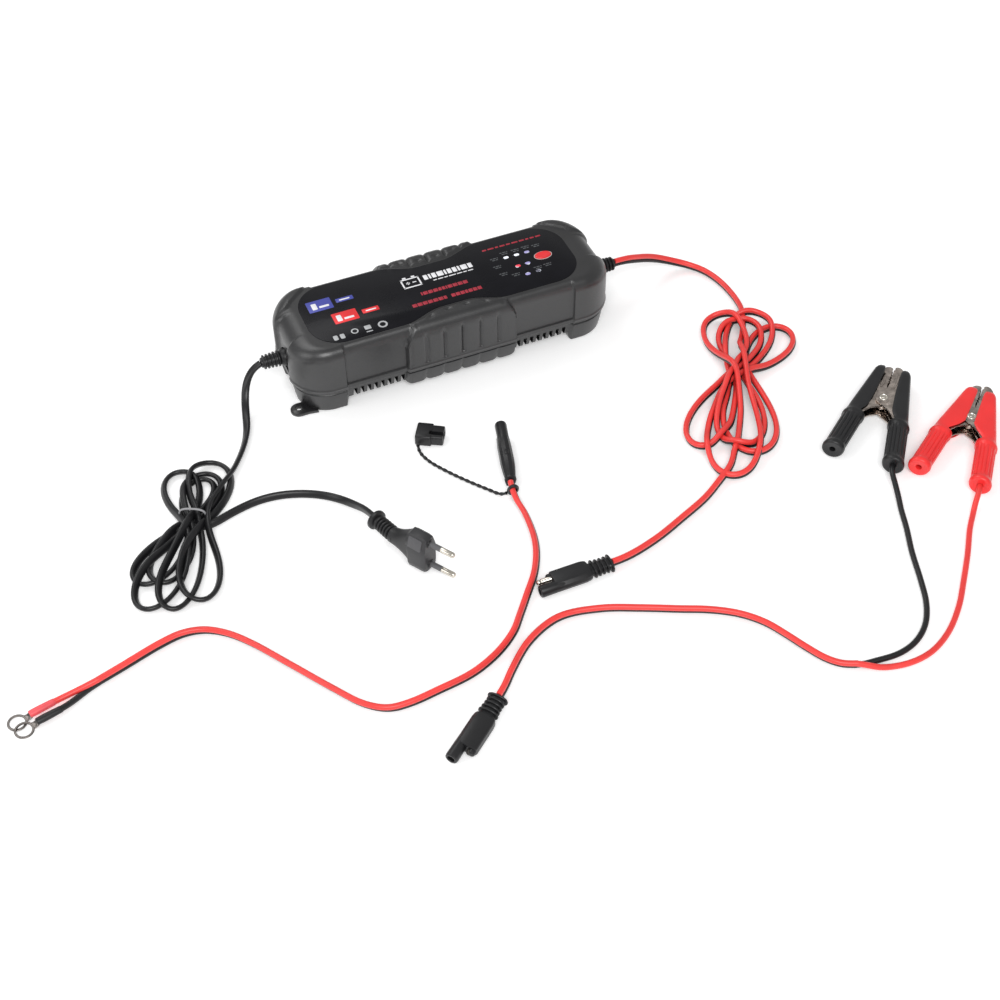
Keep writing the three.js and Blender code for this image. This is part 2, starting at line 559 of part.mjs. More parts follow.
const MAINS_FALL = [[-glandTip, 0, GLAND.height], [-137, 0, 29.9], [-140.5, -0.4, 28.2], [-145, -2, 23.5],
  [-149.5, -6, 15], [-153, -15, 7.5], [-157, -30, 3.4]];
const MAINS_RUN = [[-161.5, -40], [-167, -49.5], [-178, -64.3]];
const MAINS_HANK = [[-196, -41], [-208, -43], [-220, -52], [-224, -68], [-221, -84], [-221.5, -92],
  [-240, -104], [-267, -127], [-272, -146], [-264, -164], [-247, -171], [-228, -162], [-214, -138],
  [-208, -112], [-206, -99], [-191, -89], [-182, -73], [-184, -52]];
const PLUG_AT = { x: -87.6, y: -196.7, z: PLUG.half, azimuth: -57 };
const MAINS_OUT = [[-202.5, -107], [-193.5, -101.5], [-173, -97], [-158, -97.5], [-143, -102], [-130, -109]];
const MAINS_RISE = [[-121, -118, 3.6], [-115, -130, 7.5], [-111, -143, 13.5], [-108.7, -154.9, PLUG.half]];

const mainsStart = [...MAINS_FALL, ...floorRun(MAINS.axis, MAINS_RUN)];
const mainsEnd = [...floorRun(MAINS.axis, MAINS_OUT), ...MAINS_RISE];
add('mains_cord_body_end', cordTube(mainsStart, MAINS.radius, 12), rubberBlack());
add('mains_cord_hank', hank(MAINS_HANK, 10.4).translate([0, 0, 1.3]), rubberBlack());
add('mains_cord_tie', tieBand(-214, -95.6, 63, 10.9, 13), tieGrey());
add('mains_cord_plug_end', cordTube(mainsEnd, MAINS.radius, 14), rubberBlack());

const plug = new THREE.Group();
plug.position.set(PLUG_AT.x, PLUG_AT.y, PLUG_AT.z);
plug.rotation.z = THREE.MathUtils.degToRad(PLUG_AT.azimuth);
charger.add(plug);
add('mains_plug', plugBody(), rubberBlack(), plug);
add('mains_plug_pin_1', plugPin(1), steel(), plug);
add('mains_plug_pin_2', plugPin(-1), steel(), plug);

// ---------------------------------------------------------------- assembly: output lead
const OUTPUT_FALL = [[glandTip, 0, GLAND.height], [138, 0, 29.95], [145, 0.8, 29], [153, 3, 25.5],
  [164, 6, 20.5], [175, 8.5, 14.5], [187, 7.5, 8.8], [197, 4, 5.2], [205, -3, 3.6]];
const OUTPUT_RUN = [[211, -17], [213.5, -34], [213, -51]];
const OUTPUT_HANK = [[188, -59], [200, -52], [214, -57], [228, -71], [236, -90], [226, -107], [206, -118],
  [191, -130], [184, -148], [177, -170], [163, -192], [142, -205], [122, -208], [112, -198], [110, -180],
  [110, -164], [124, -153], [148, -137], [166, -121], [176, -102], [183, -78]];
const OUTPUT_OUT = [[112.5, -205], [100, -213], [76, -223.5], [58, -231], [40, -236.5]];
const OUTPUT_PLUG = { x: 18, y: -239.6, azimuth: 180.4 };

const outputStart = [...OUTPUT_FALL, ...floorRun(TWIN.axis, OUTPUT_RUN)];
const outputEnd = [...floorRun(TWIN.axis, OUTPUT_OUT), [28, -239, 3.6],
  [OUTPUT_PLUG.x + GAP, OUTPUT_PLUG.y, CONNECTOR.axis]];
add('output_lead_body_end', cordTube(outputStart, TWIN.radius, 12), cableRed());
add('output_lead_hank', hank(OUTPUT_HANK, 12), cableRed());
add('output_lead_connector_end', cordTube(outputEnd, TWIN.radius, 9), cableRed());
addConnector('output_connector', OUTPUT_PLUG.x, OUTPUT_PLUG.y, CONNECTOR.axis, OUTPUT_PLUG.azimuth, 180,
  CONNECTOR.barePin);

// ---------------------------------------------------------------- assembly: ring terminal lead
const RING_PLUG = { x: -13.1, y: -152.1, z: 7.4, azimuth: 74.7 };
const RING_START = [[-13.3, -153, RING_PLUG.z], [-14.3, -157, 7], [-14.9, -162, 5.6], [-14.8, -168, 3.8]];
const RING_RUN = [[-14.5, -178], [-18.5, -204], [-28, -225], [-41.5, -242.5], [-52, -255.5], [-60, -265],
  [-75, -276], [-95, -284.5], [-118, -288], [-138, -290], [-151, -288.5], [-163, -280], [-176, -262],
  [-193, -236], [-211, -209], [-222, -196.5], [-234, -188.5], [-247, -186], [-262, -188.5], [-287, -196],
  [-304, -201], [-316, -204]];
const TETHER = [[-55.5, -91.2, 2.4], [-56.5, -96, 1.6], [-54, -107, 1.5], [-46, -121.5, 1.5],
  [-36.5, -135.5, 1.5], [-27, -148, 1.5], [-20.5, -156.5, 2.6]];

// On edge, its long pole above.
addConnector('ring_connector', RING_PLUG.x, RING_PLUG.y, RING_PLUG.z, RING_PLUG.azimuth, -90,
  CONNECTOR.shortPin);
add('ring_lead', cordTube([...RING_START, ...floorRun(TWIN.axis, RING_RUN)], TWIN.radius, 30), cableRed());
const cap = add('ring_connector_cap', connectorCap(), rubberBlack());
cap.position.set(-53, -82.5, 4.7);
cap.rotation.z = THREE.MathUtils.degToRad(-31);
add('cap_tether', cordTube(TETHER, 1.3, 14), rubberBlack());
const WIRE = CORE / 2;
const RING_WIRE_RED = [[-316.7, -202.1, 2], [-326, -203.3, 2.1], [-335.7, -205.1, 2.5]];
const RING_WIRE_BLACK = [[-316.2, -206.1, 2], [-323, -209.4, 2.6], [-329.5, -212.2, 3.6],
  [-332.9, -213.1, 3.8]];
add('ring_wire_red', cordTube(RING_WIRE_RED, WIRE, 5), cableRed());
add('ring_wire_black', cordTube(RING_WIRE_BLACK, WIRE, 5), rubberBlack());
addRingTerminal('ring_terminal_red', -354.6, -209.3, 0.2, 192.4);
addRingTerminal('ring_terminal_black', -351.9, -217.3, 1.6, 192.4);

// ---------------------------------------------------------------- assembly: clamp lead
const CLAMP_PLUG = { x: -88.8, y: -307.9, azimuth: 218.5 };
const CLAMP_START = [[-88.5, -307.6, CONNECTOR.axis], [-81, -300.5, 3.6]];
const CLAMP_RUN = [[-73, -292], [-54, -275.5], [-30, -266], [-4, -270], [20, -280], [41, -290], [58, -298],
  [73, -308], [84, -320], [91, -333], [97, -346], [104, -359], [111, -366.5], [119, -370.4]];
const BLACK_RUN = [[120.8, -368.6], [131, -371.5], [147, -372.5], [161, -369], [174, -360], [184, -346],
  [191, -329], [199, -306], [207, -287], [212.5, -272]];
const RED_RUN = [[118.9, -372.8], [132, -377.5], [148, -381], [165, -379.5], [183, -371], [201, -356],
  [216, -339], [231, -321], [244, -304], [254, -293]];
const BLACK_CLAMP = { x: 211, y: -225, azimuth: 44.5 };
const RED_CLAMP = { x: 254, y: -263, azimuth: 42 };

addConnector('clamp_connector', CLAMP_PLUG.x, CLAMP_PLUG.y, CONNECTOR.axis, CLAMP_PLUG.azimuth, 0,
  CONNECTOR.shortPin);
add('clamp_lead', cordTube([...CLAMP_START, ...floorRun(TWIN.axis, CLAMP_RUN)], TWIN.radius, 22), cableRed());

// A point on the line of the fixed handle, `back` behind its end, where the clamp's wire goes in.
function handleLine(clamp, back) {
  const turn = THREE.MathUtils.degToRad(clamp.azimuth);
  const [along, across] = [-1 - back, -armLine(-1 - back)];
  return [clamp.x + along * Math.cos(turn) - across * Math.sin(turn),
    clamp.y + along * Math.sin(turn) + across * Math.cos(turn), CLAMP.axis];
}
const blackEntry = [[217, -261, 2.6], [219.5, -252, 5.6], handleLine(BLACK_CLAMP, 5),
  handleLine(BLACK_CLAMP, 0.5)];
const redEntry = [[258.5, -288, 4.8], handleLine(RED_CLAMP, 5), handleLine(RED_CLAMP, 0.5)];
add('clamp_wire_black', cordTube([...floorRun(2, BLACK_RUN), ...blackEntry], WIRE, 18), rubberBlack());
add('clamp_wire_red', cordTube([...floorRun(2, RED_RUN), ...redEntry], WIRE, 18), cableRed());
addClamp('black', BLACK_CLAMP.x, BLACK_CLAMP.y, BLACK_CLAMP.azimuth, rubberBlack(), false);
addClamp('red', RED_CLAMP.x, RED_CLAMP.y, RED_CLAMP.azimuth, cableRed(), true);

export default charger;
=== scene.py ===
"""Car battery charger: looks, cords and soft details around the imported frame.

Lengths below are millimetres in the frame's own axes; MM turns them into Blender's metres.
"""
import math

import bmesh
import bpy
import numpy as np
from mathutils import Matrix, Vector


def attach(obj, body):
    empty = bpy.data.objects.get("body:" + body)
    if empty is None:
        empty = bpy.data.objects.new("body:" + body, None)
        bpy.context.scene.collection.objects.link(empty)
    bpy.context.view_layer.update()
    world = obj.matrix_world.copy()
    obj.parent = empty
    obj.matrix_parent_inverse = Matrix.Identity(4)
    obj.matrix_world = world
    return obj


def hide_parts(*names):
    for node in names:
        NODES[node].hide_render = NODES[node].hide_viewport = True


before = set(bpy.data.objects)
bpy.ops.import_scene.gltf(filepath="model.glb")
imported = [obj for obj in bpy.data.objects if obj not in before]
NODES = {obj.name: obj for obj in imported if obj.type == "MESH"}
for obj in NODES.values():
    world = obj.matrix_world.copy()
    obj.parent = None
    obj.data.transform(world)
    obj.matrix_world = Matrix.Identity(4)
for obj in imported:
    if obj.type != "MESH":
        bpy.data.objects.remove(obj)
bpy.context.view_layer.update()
MM = 0.001


# ------------------------------------------------------------------ camera, floor and light
def make_camera():
    """A 61 mm lens, 1.2 m from the case, looking down at 47 degrees from the front left."""
    right = Vector((0.9192, -0.3937, -0.0065))
    up = Vector((0.2930, 0.6729, 0.6793))
    forward = Vector((0.2630, 0.6263, -0.7338))
    data = bpy.data.cameras.new("camera")
    data.sensor_width = 36
    data.lens = 61.04
    camera = bpy.data.objects.new("camera", data)
    bpy.context.scene.collection.objects.link(camera)
    turn = Matrix((right, up, -forward)).transposed().to_4x4()
    camera.matrix_world = Matrix.Translation((-0.3175, -0.8578, 0.8201)) @ turn
    bpy.context.scene.camera = camera


def area_light(name, place, target, size, power):
    data = bpy.data.lights.new(name, "AREA")
    data.shape = "RECTANGLE"
    data.size, data.size_y = size
    data.energy = power
    lamp = bpy.data.objects.new(name, data)
    bpy.context.scene.collection.objects.link(lamp)
    lamp.location = place
    lamp.rotation_euler = (Vector(target) - Vector(place)).to_track_quat("-Z", "Y").to_euler()


def make_studio():
    scene = bpy.context.scene
    scene.view_settings.view_transform = "Standard"
    world = bpy.data.worlds.new("studio")
    scene.world = world
    world.use_nodes = True
    background = world.node_tree.nodes["Background"]
    background.inputs["Color"].default_value = (1, 1, 1, 1)
    background.inputs["Strength"].default_value = 0.5
    area_light("key_light", (-0.4, -1.4, 1.5), (0, -0.1, 0), (1.2, 0.8), 24)
    area_light("back_light", (-0.5, 0.9, 1.5), (0, -0.1, 0), (1.2, 0.8), 8)
    area_light("left_light", (-1.5, -0.2, 0.8), (0, -0.1, 0), (0.8, 0.8), 5)
    bpy.ops.mesh.primitive_plane_add(size=8, location=(0, 0, -0.0002))
    floor = bpy.context.object
    floor.name = "floor"
    floor.data.materials.append(principled("paper", (0.93, 0.93, 0.93), 0.9, specular=0.1, glow=0.22))


# ------------------------------------------------------------------ materials
def principled(name, color, roughness, metallic=0.0, coat=0.0, specular=0.5, glow=0.0, glow_color=(1, 1, 1)):
    """A plain material, with a light of its own where glow says so."""
    material = bpy.data.materials.new(name)
    material.use_nodes = True
    values = {"Base Color": (*color, 1), "Roughness": roughness, "Metallic": metallic, "Coat Weight": coat,
              "Specular IOR Level": specular, "Emission Color": (*glow_color, 1), "Emission Strength": glow}
    for socket, value in values.items():
        material.node_tree.nodes["Principled BSDF"].inputs[socket].default_value = value
    return material


def add_node(tree, kind, values, links):
    """A shader node with these input values; links name the outputs that feed its other inputs."""
    node = tree.nodes.new(kind)
    for socket, value in values.items():
        node.inputs[socket].default_value = value
    for socket, source in links.items():
        tree.links.new(source, node.inputs[socket])
    return node


def textured(name, color, roughness, scale, bump, *, metallic=0.0, coat=0.0, specular=0.5,
             tone=0.12, spread=0.08, stretch=(1, 1, 1), blotch=60.0):
    """Surface with fine grain in its bump and slow changes in colour and roughness.

    scale is grains per metre, bump their depth in metres; tone and spread are the share by which
    colour and roughness vary over patches about 1/blotch of a metre wide.
    """
    material = principled(name, color, roughness, metallic, coat, specular)
    tree = material.node_tree
    shader = tree.nodes["Principled BSDF"]
    place = tree.nodes.new("ShaderNodeTexCoord").outputs["Object"]
    mapping = add_node(tree, "ShaderNodeMapping", {"Scale": stretch}, {"Vector": place})
    grain = add_node(tree, "ShaderNodeTexNoise", {"Scale": scale, "Detail": 3},
                     {"Vector": mapping.outputs["Vector"]})
    relief = add_node(tree, "ShaderNodeBump", {"Distance": bump, "Strength": 1.0},
                      {"Height": grain.outputs["Fac"]})
    patches = add_node(tree, "ShaderNodeTexNoise", {"Scale": blotch, "Detail": 4}, {"Vector": place})
    shades = add_node(tree, "ShaderNodeValToRGB", {}, {"Fac": patches.outputs["Fac"]})
    low, high = 0.3, 0.7  # the noise hardly ever leaves this range
    for element, where, share in zip(shades.color_ramp.elements, (low, high), (1 - tone, 1 + tone)):
        element.position = where
        element.color = (*[min(1, c * share) for c in color], 1)
    sheen = add_node(tree, "ShaderNodeMapRange",
                     {"From Min": low, "From Max": high, "To Min": roughness * (1 - spread),
                      "To Max": roughness * (1 + spread)}, {"Value": patches.outputs["Fac"]})
    tree.links.new(relief.outputs["Normal"], shader.inputs["Normal"])
    tree.links.new(shades.outputs["Color"], shader.inputs["Base Color"])
    tree.links.new(sheen.outputs["Result"], shader.inputs["Roughness"])
    return material


FACTS = {  # colour, roughness, grains per metre, grain depth in metres, and what differs from the usual
    "case": ((0.0115, 0.0115, 0.0125), 0.36, 1500, 0.00005, {"specular": 0.78, "tone": 0.14}),
    "label": ((0.0045, 0.0045, 0.0065), 0.28, 900, 0.000003, {"coat": 0.05, "specular": 0.14, "tone": 0.2}),
    "relief": ((0.010, 0.010, 0.011), 0.40, 1400, 0.00003, {"specular": 0.4}),
    "mains": ((0.007, 0.007, 0.008), 0.34, 1200, 0.00002, {"specular": 0.4, "tone": 0.25}),
    "core_red": ((0.78, 0.045, 0.040), 0.36, 1200, 0.00001, {"tone": 0.08}),
    "core_black": ((0.009, 0.009, 0.010), 0.36, 1200, 0.00001, {"specular": 0.4}),
    "connector": ((0.010, 0.010, 0.011), 0.38, 1400, 0.00003, {"specular": 0.4}),
    "button": ((0.72, 0.02, 0.025), 0.30, 800, 0.000005, {"coat": 0.2}),
    "rim": ((0.62, 0.50, 0.48), 0.35, 800, 0.000005, {}),
    "white_ink": ((0.78, 0.78, 0.80), 0.45, 3000, 0.000004, {"tone": 0.05}),
    "grey_ink": ((0.42, 0.43, 0.44), 0.45, 3000, 0.000004, {}),
    "dim_ink": ((0.060, 0.064, 0.070), 0.45, 3000, 0.000004, {}),
    "red_ink": ((0.34, 0.012, 0.03), 0.45, 3000, 0.000004, {}),
    "bright_red_ink": ((0.75, 0.02, 0.025), 0.40, 3000, 0.000004, {}),
    "blue_ink": ((0.050, 0.062, 0.34), 0.40, 3000, 0.000004, {}),
    "nickel": ((0.66, 0.62, 0.55), 0.24, 500, 0.00002,
              {"metallic": 1, "tone": 0.15, "spread": 0.3, "blotch": 140}),
    "ring_nickel": ((0.17, 0.155, 0.145), 0.30, 500, 0.00002,
                   {"metallic": 1, "tone": 0.2, "spread": 0.3, "blotch": 200}),
    "grip_black": ((0.013, 0.013, 0.014), 0.38, 1200, 0.00003, {"specular": 0.4}),
    "grip_red": ((0.83, 0.030, 0.030), 0.33, 1200, 0.00002, {"tone": 0.06}),
    "sleeve_red": ((0.80, 0.085, 0.10), 0.40, 1200, 0.00002, {}),
    "plug": ((0.026, 0.026, 0.028), 0.42, 1400, 0.00004, {"specular": 0.4}),
    "plug_panel": ((0.070, 0.070, 0.074), 0.46, 900, 0.00012, {"specular": 0.4}),
    "clamp_nickel": ((0.44, 0.385, 0.345), 0.20, 160, 0.0005,
                    {"metallic": 1, "tone": 0.4, "spread": 0.5, "blotch": 260}),
    "pin_sleeve": ((0.085, 0.085, 0.090), 0.40, 1200, 0.00002, {}),
    "dark_pin": ((0.05, 0.045, 0.04), 0.45, 800, 0.00002, {"metallic": 0.6}),
    "tie": ((0.26, 0.26, 0.27), 0.40, 1500, 0.00002, {}),
    "board": ((0.012, 0.12, 0.04), 0.35, 700, 0.00003, {"tone": 0.2}),
    "ferrite": ((0.045, 0.045, 0.048), 0.7, 900, 0.00006, {}),
    "copper": ((0.60, 0.20, 0.07), 0.3, 400, 0.0001, {"metallic": 1, "stretch": (1, 1, 6)}),
    "aluminium": ((0.62, 0.63, 0.65), 0.42, 300, 0.00003, {"metallic": 1, "stretch": (8, 1, 1)}),
    "steel": ((0.55, 0.55, 0.54), 0.36, 400, 0.00003, {"metallic": 1}),
    "component": ((0.02, 0.02, 0.022), 0.42, 900, 0.00002, {}),
    "ceramic": ((0.72, 0.68, 0.60), 0.30, 500, 0.00001, {}),
    "light_guide": ((0.70, 0.74, 0.80), 0.15, 500, 0.000005, {"coat": 0.3}),
}
LOOKS = {name: textured(name, *facts, **extras) for name, (*facts, extras) in FACTS.items()}


# ------------------------------------------------------------------ meshes
def mesh_object(name, points, faces):
    """An object in the scene from millimetre points."""
    mesh = bpy.data.meshes.new(name)
    mesh.from_pydata((np.asarray(points, float) * MM).tolist(), [], [list(f) for f in faces])
    mesh.update()
    obj = bpy.data.objects.new(name, mesh)
    bpy.context.scene.collection.objects.link(obj)
    return obj


def placed(points, place, azimuth, roll=0.0):
    """Points turned by roll about X, then azimuth about Z, and moved to place."""
    turn = Matrix.Rotation(math.radians(azimuth), 3, "Z") @ Matrix.Rotation(math.radians(roll), 3, "X")
    return np.asarray(points, float) @ np.array(turn).T + np.asarray(place, float)


def at(spot, points):
    """Points moved from a part's own axes to its spot in the frame."""
    if spot is None:
        return points
    return placed(points, spot["place"], spot["azimuth"], spot.get("roll", 0))


def add_piece(name, solid, looks, nodes=(), *, spot=None, body="root", angle=40, cutters=()):
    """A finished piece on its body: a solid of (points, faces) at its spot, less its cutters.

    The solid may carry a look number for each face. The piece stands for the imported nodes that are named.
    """
    points, faces, face_looks = (*solid, None)[:3]
    piece = mesh_object(name, at(spot, points), faces)
    for look in [looks] if isinstance(looks, str) else looks:
        piece.data.materials.append(LOOKS[look])
    if face_looks is not None:
        piece.data.polygons.foreach_set("material_index", np.asarray(face_looks, np.int32))
    shade(piece, angle)
    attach(piece, body)
    if cutters:
        cut_by(piece, [mesh_object("cutter", at(spot, cutter[0]), cutter[1]) for cutter in cutters])
        shade(piece, angle)
    if nodes:
        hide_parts(*([nodes] if isinstance(nodes, str) else nodes))
    return piece


def shade(piece, angle):
    """Smooth shading, except that edges which turn more than angle degrees stay crisp."""
    piece.data.shade_smooth()
    form = bmesh.new()
    form.from_mesh(piece.data)
    limit = math.radians(angle)
    for edge in form.edges:
        if len(edge.link_faces) == 2 and edge.calc_face_angle(0) > limit:
            edge.smooth = False
    form.to_mesh(piece.data)
    form.free()


def merged(parts):
    """Joins (points, faces) or (points, faces, look numbers) lists into one."""
    points, faces, looks = [], [], []
    for part in parts:
        start = sum(len(p) for p in points)
        points.append(np.asarray(part[0], float))
        faces += [[start + i for i in face] for face in part[1]]
        looks += list(part[2]) if len(part) > 2 else [0] * len(part[1])
    return np.vstack(points), faces, looks


STEP = 1.5  # spacing of the points along a cord


def catmull(points, step=STEP):
    """Centripetal spline through the points, resampled every `step` millimetres."""
    p = np.asarray(points, float)
    p = np.vstack([2 * p[0] - p[1], p, 2 * p[-1] - p[-2]])
    out = []
    for start in range(len(p) - 3):
        mix = list(p[start:start + 4])
        k = [0.0]
        for here, there in zip(mix, mix[1:]):
            k.append(k[-1] + max(np.linalg.norm(there - here), 1e-6) ** 0.5)
        t = np.linspace(k[1], k[2], 12, endpoint=False)[:, None]
        for spans in (((0, 1), (1, 2), (2, 3)), ((0, 2), (1, 3)), ((1, 2),)):
            mix = [(k[b] - t) / (k[b] - k[a]) * mix[n] + (t - k[a]) / (k[b] - k[a]) * mix[n + 1]
                   for n, (a, b) in enumerate(spans)]
        out.append(mix[0])
    out.append(p[-2][None])
    return resample(np.vstack(out), step)


def resample(line, step):
    """The same line with points `step` millimetres apart."""
    gaps = np.linalg.norm(np.diff(line, axis=0), axis=1)
    along = np.concatenate([[0], np.cumsum(gaps)])
    count = max(2, int(round(along[-1] / step)) + 1)
    where = np.linspace(0, along[-1], count)
    return np.stack([np.interp(where, along, line[:, k]) for k in range(3)], 1)


def tangents(line):
    t = np.gradient(line, axis=0)
    return t / np.linalg.norm(t, axis=1)[:, None]


def sweep(line, section, lean, looks=None):
    """Closed tube along line. lean (one vector or one a point) sets where the section's +u points.

    section is a list of (u, v); looks gives each side's look number.
    """
    section = np.asarray(section, float)
    t = tangents(line)
    lean = np.broadcast_to(np.asarray(lean, float), line.shape)
    u = lean - (lean * t).sum(1)[:, None] * t
    u /= np.linalg.norm(u, axis=1)[:, None]
    v = np.cross(t, u)
    rings = line[:, None] + section[None, :, :1] * u[:, None] + section[None, :, 1:] * v[:, None]
    face_looks = (looks or [0] * len(section)) * (len(line) - 1) + [0, 0]
    return *ring_mesh(rings), face_looks


def grid_faces(rows, sides, looped=False):
    """Quads between closed rows of `sides` points; looped joins the last row to the first."""
    faces = []
    for i in range(rows if looped else rows - 1):
        n = (i + 1) % rows
        for j in range(sides):
            k = (j + 1) % sides
            faces.append([i * sides + j, i * sides + k, n * sides + k, n * sides + j])
    return faces


def ring_mesh(rings):
    """Closed solid through rings of equal size, with a flat cap at each end."""
    sides = len(rings[0])
    first = list(range(sides))
    last = [(len(rings) - 1) * sides + j for j in first]
    return np.vstack(rings), [*grid_faces(len(rings), sides), first[::-1], last]


def rise(t):
    """0 to 1 with soft ends as t goes from 0 to 1."""
    t = np.clip(t, 0, 1)
    return t * t * (3 - 2 * t)


def soft_oval(half_wide, half_high, power, sides):
    """Superellipse points (u, v): power 2 is an ellipse, more is squarer."""
    a = np.linspace(0, 2 * np.pi, sides, endpoint=False)
    bend = 2 / power
    u = half_wide * np.sign(np.cos(a)) * np.abs(np.cos(a)) ** bend
    v = half_high * np.sign(np.sin(a)) * np.abs(np.sin(a)) ** bend
    return np.stack([u, v], 1)


def circle(radius, sides):
    return soft_oval(radius, radius, 2, sides)


# ------------------------------------------------------------------ cords: facts
CORE_RADIUS = 1.9
CORE_OFFSET = 1.85  # each core's distance from the twin lead's middle
TWIN_LEAN = (-0.36, -0.25, 0.90)  # from the black core to the red one, before it meets the lead
FLAT_HALF = (2.7, 1.7)
TETHER_RADIUS = 1.3


def twin_section():
    """Figure of eight: the red core on +u, the black one on -u; with a look for each side."""
    start = math.acos(CORE_OFFSET / CORE_RADIUS)
    turn = np.linspace(-math.pi + start, math.pi - start, 13)
    red = [(CORE_OFFSET + CORE_RADIUS * math.cos(a), CORE_RADIUS * math.sin(a)) for a in turn]
    black = [(-u, -v) for u, v in red]
    return red[:-1] + black[:-1], [0] * 12 + [1] * 12


def flat_section():
    """Two joined cores under one sheath: a rounded bar with a faint waist."""
    section = soft_oval(*FLAT_HALF, 2.5, 18)
    section[:, 1] *= 1 - 0.10 * np.exp(-((section[:, 0] / 0.7) ** 2))
    return section


# ------------------------------------------------------------------ cords: routes
GLAND_TIP = 134.8

MAINS_FALL = [[-GLAND_TIP, 0, 30], [-137, 0, 29.9], [-140.5, -0.4, 28.2], [-145, -2, 23.5], [-149.5, -6, 15],
              [-153, -15, 7.5], [-157, -30, 3.4]]
MAINS_RUN = [[-161.5, -40], [-167, -49.5], [-178, -64.3]]
MAINS_OUT = [[-193.5, -101.5], [-173, -97], [-158, -97.5], [-143, -102], [-130, -109]]
MAINS_RISE = [[-121, -118, 3.6], [-115, -130, 7.5], [-111, -143, 13.5], [-108.7, -154.9, 16.5]]

OUTPUT_FALL = [[GLAND_TIP, 0, 30], [138, 0, 29.95], [145, 0.8, 29], [153, 3, 25.5], [164, 6, 20.5],
               [175, 8.5, 14.5], [187, 7.5, 8.8], [197, 4, 5.2], [205, -3, 3.6]]
OUTPUT_RUN = [[211, -17], [213.5, -34], [213, -51]]
OUTPUT_OUT = [[112.5, -205], [100, -213], [76, -223.5], [58, -231], [40, -236.5]]
OUTPUT_END = [[27, -239.2, 4.2], [18.6, -239.6, 4.4]]

RING_START = [[-13.3, -153, 7.4], [-14.3, -157, 7], [-14.9, -162, 5.6], [-14.8, -168, 3.8]]
RING_RUN = [[-14.5, -178], [-18.5, -204], [-28, -225], [-41.5, -242.5], [-52, -255.5], [-60, -265],
            [-75, -276], [-95, -284.5], [-118, -288], [-138, -290], [-151, -288.5], [-163, -280],
            [-176, -262], [-193, -236], [-211, -209], [-222, -196.5], [-234, -188.5], [-247, -186],
            [-262, -188.5], [-287, -196], [-304, -201]]
RING_WIRE_RED = [[-303.0, -201.1, 5.62], [-310, -202.2, 5.0], [-317, -202.4, 3.4], [-326, -203.2, 2.4],
                 [-335.7, -205.1, 2.4], [-339.6, -206, 2.4]]
RING_WIRE_BLACK = [[-303.1, -200.5, 1.98], [-310, -202.9, 1.95], [-316.2, -205.9, 2], [-323, -209.4, 2.6],
                   [-329.5, -212.2, 3.6], [-333.2, -213.2, 3.8], [-337.4, -214.1, 3.8]]
TETHER = [[-55.5, -91.2, 2.4], [-56.5, -96, 1.6], [-54, -107, 1.5], [-46, -121.5, 1.5], [-36.5, -135.5, 1.5],
          [-27, -148, 1.5], [-21.8, -155.3, 2.2], [-18.9, -158.2, 5.0]]

CLAMP_START = [[-88.5, -307.6, 4.4], [-81, -300.5, 3.6]]
CLAMP_RUN = [[-73, -292], [-54, -275.5], [-30, -266], [-4, -270], [20, -280], [41, -290], [58, -298],
             [73, -308], [84, -320], [91, -333], [97, -346], [104, -359], [111, -366.5], [119, -370.4]]
BLACK_RUN = [[131, -371.5], [147, -372.5], [161, -369], [174, -360], [184, -346], [191, -329],
             [199, -306], [207, -287], [212.5, -272]]
RED_RUN = [[148, -381], [165, -379.5], [183, -371], [201, -356], [216, -339],
           [231, -321], [244, -304], [254, -293]]


def on_floor(points, height):
    return [[x, y, height] for x, y in points]


# ------------------------------------------------------------------ cords: hanks
PETAL_POINTS = 26


def petal(waist, angle, reach, width, side):
    """One loop of a hank: out from the waist, round the tip and back; side is +1 or -1."""
    t = np.linspace(0, 2 * np.pi, PETAL_POINTS)
    out = reach * (1 - np.cos(t)) / 2
    across = side * 0.65 * width * np.sin(t) * np.sin(t / 2) ** 0.9
    a = math.radians(angle)
    x = waist[0] + out * math.cos(a) - across * math.sin(a)
    y = waist[1] + out * math.sin(a) + across * math.cos(a)
    return np.stack([x, y, np.zeros(PETAL_POINTS)], 1)


SETTLE_ROUNDS = 320
FALL = 0.05  # how far a settling line drops each round
STRAIGHTEN = np.array([0.30, 0.30, 0.42])  # how strongly each point goes to the middle of its neighbours
HOLD = 0.03  # how strongly it goes back to where it started, seen from above
PART, PART_LEVEL = 0.35, 0.6  # share of an overlap undone each round, and how much of that is level


def settle(line, radius):
    """Lets a line lie down on the floor and on itself. Deterministic position relaxation."""
    home = line.copy()
    near = int(math.ceil(2.6 * 2 * radius / np.linalg.norm(line[1] - line[0])))
    index = np.arange(len(line))
    apart = np.abs(index[:, None] - index[None]) > near
    for _ in range(SETTLE_ROUNDS):
        line[1:-1, 2] -= FALL
        middle = (line[:-2] + line[2:]) / 2
        line[1:-1] += STRAIGHTEN * (middle - line[1:-1])
        line[1:-1, :2] += HOLD * (home[1:-1, :2] - line[1:-1, :2])
        gap = line[:, None] - line[None]
        distance = np.linalg.norm(gap, axis=2) + 1e-6
        push = np.where(apart & (distance < 2 * radius), 2 * radius - distance, 0)
        shift = (push / distance)[:, :, None] * gap
        shift[:, :, :2] *= PART_LEVEL
        line[1:-1] += PART * shift.sum(1)[1:-1]
        line[:, 2] = np.maximum(line[:, 2], radius)
        line[[0, -1]] = home[[0, -1]]
    return line


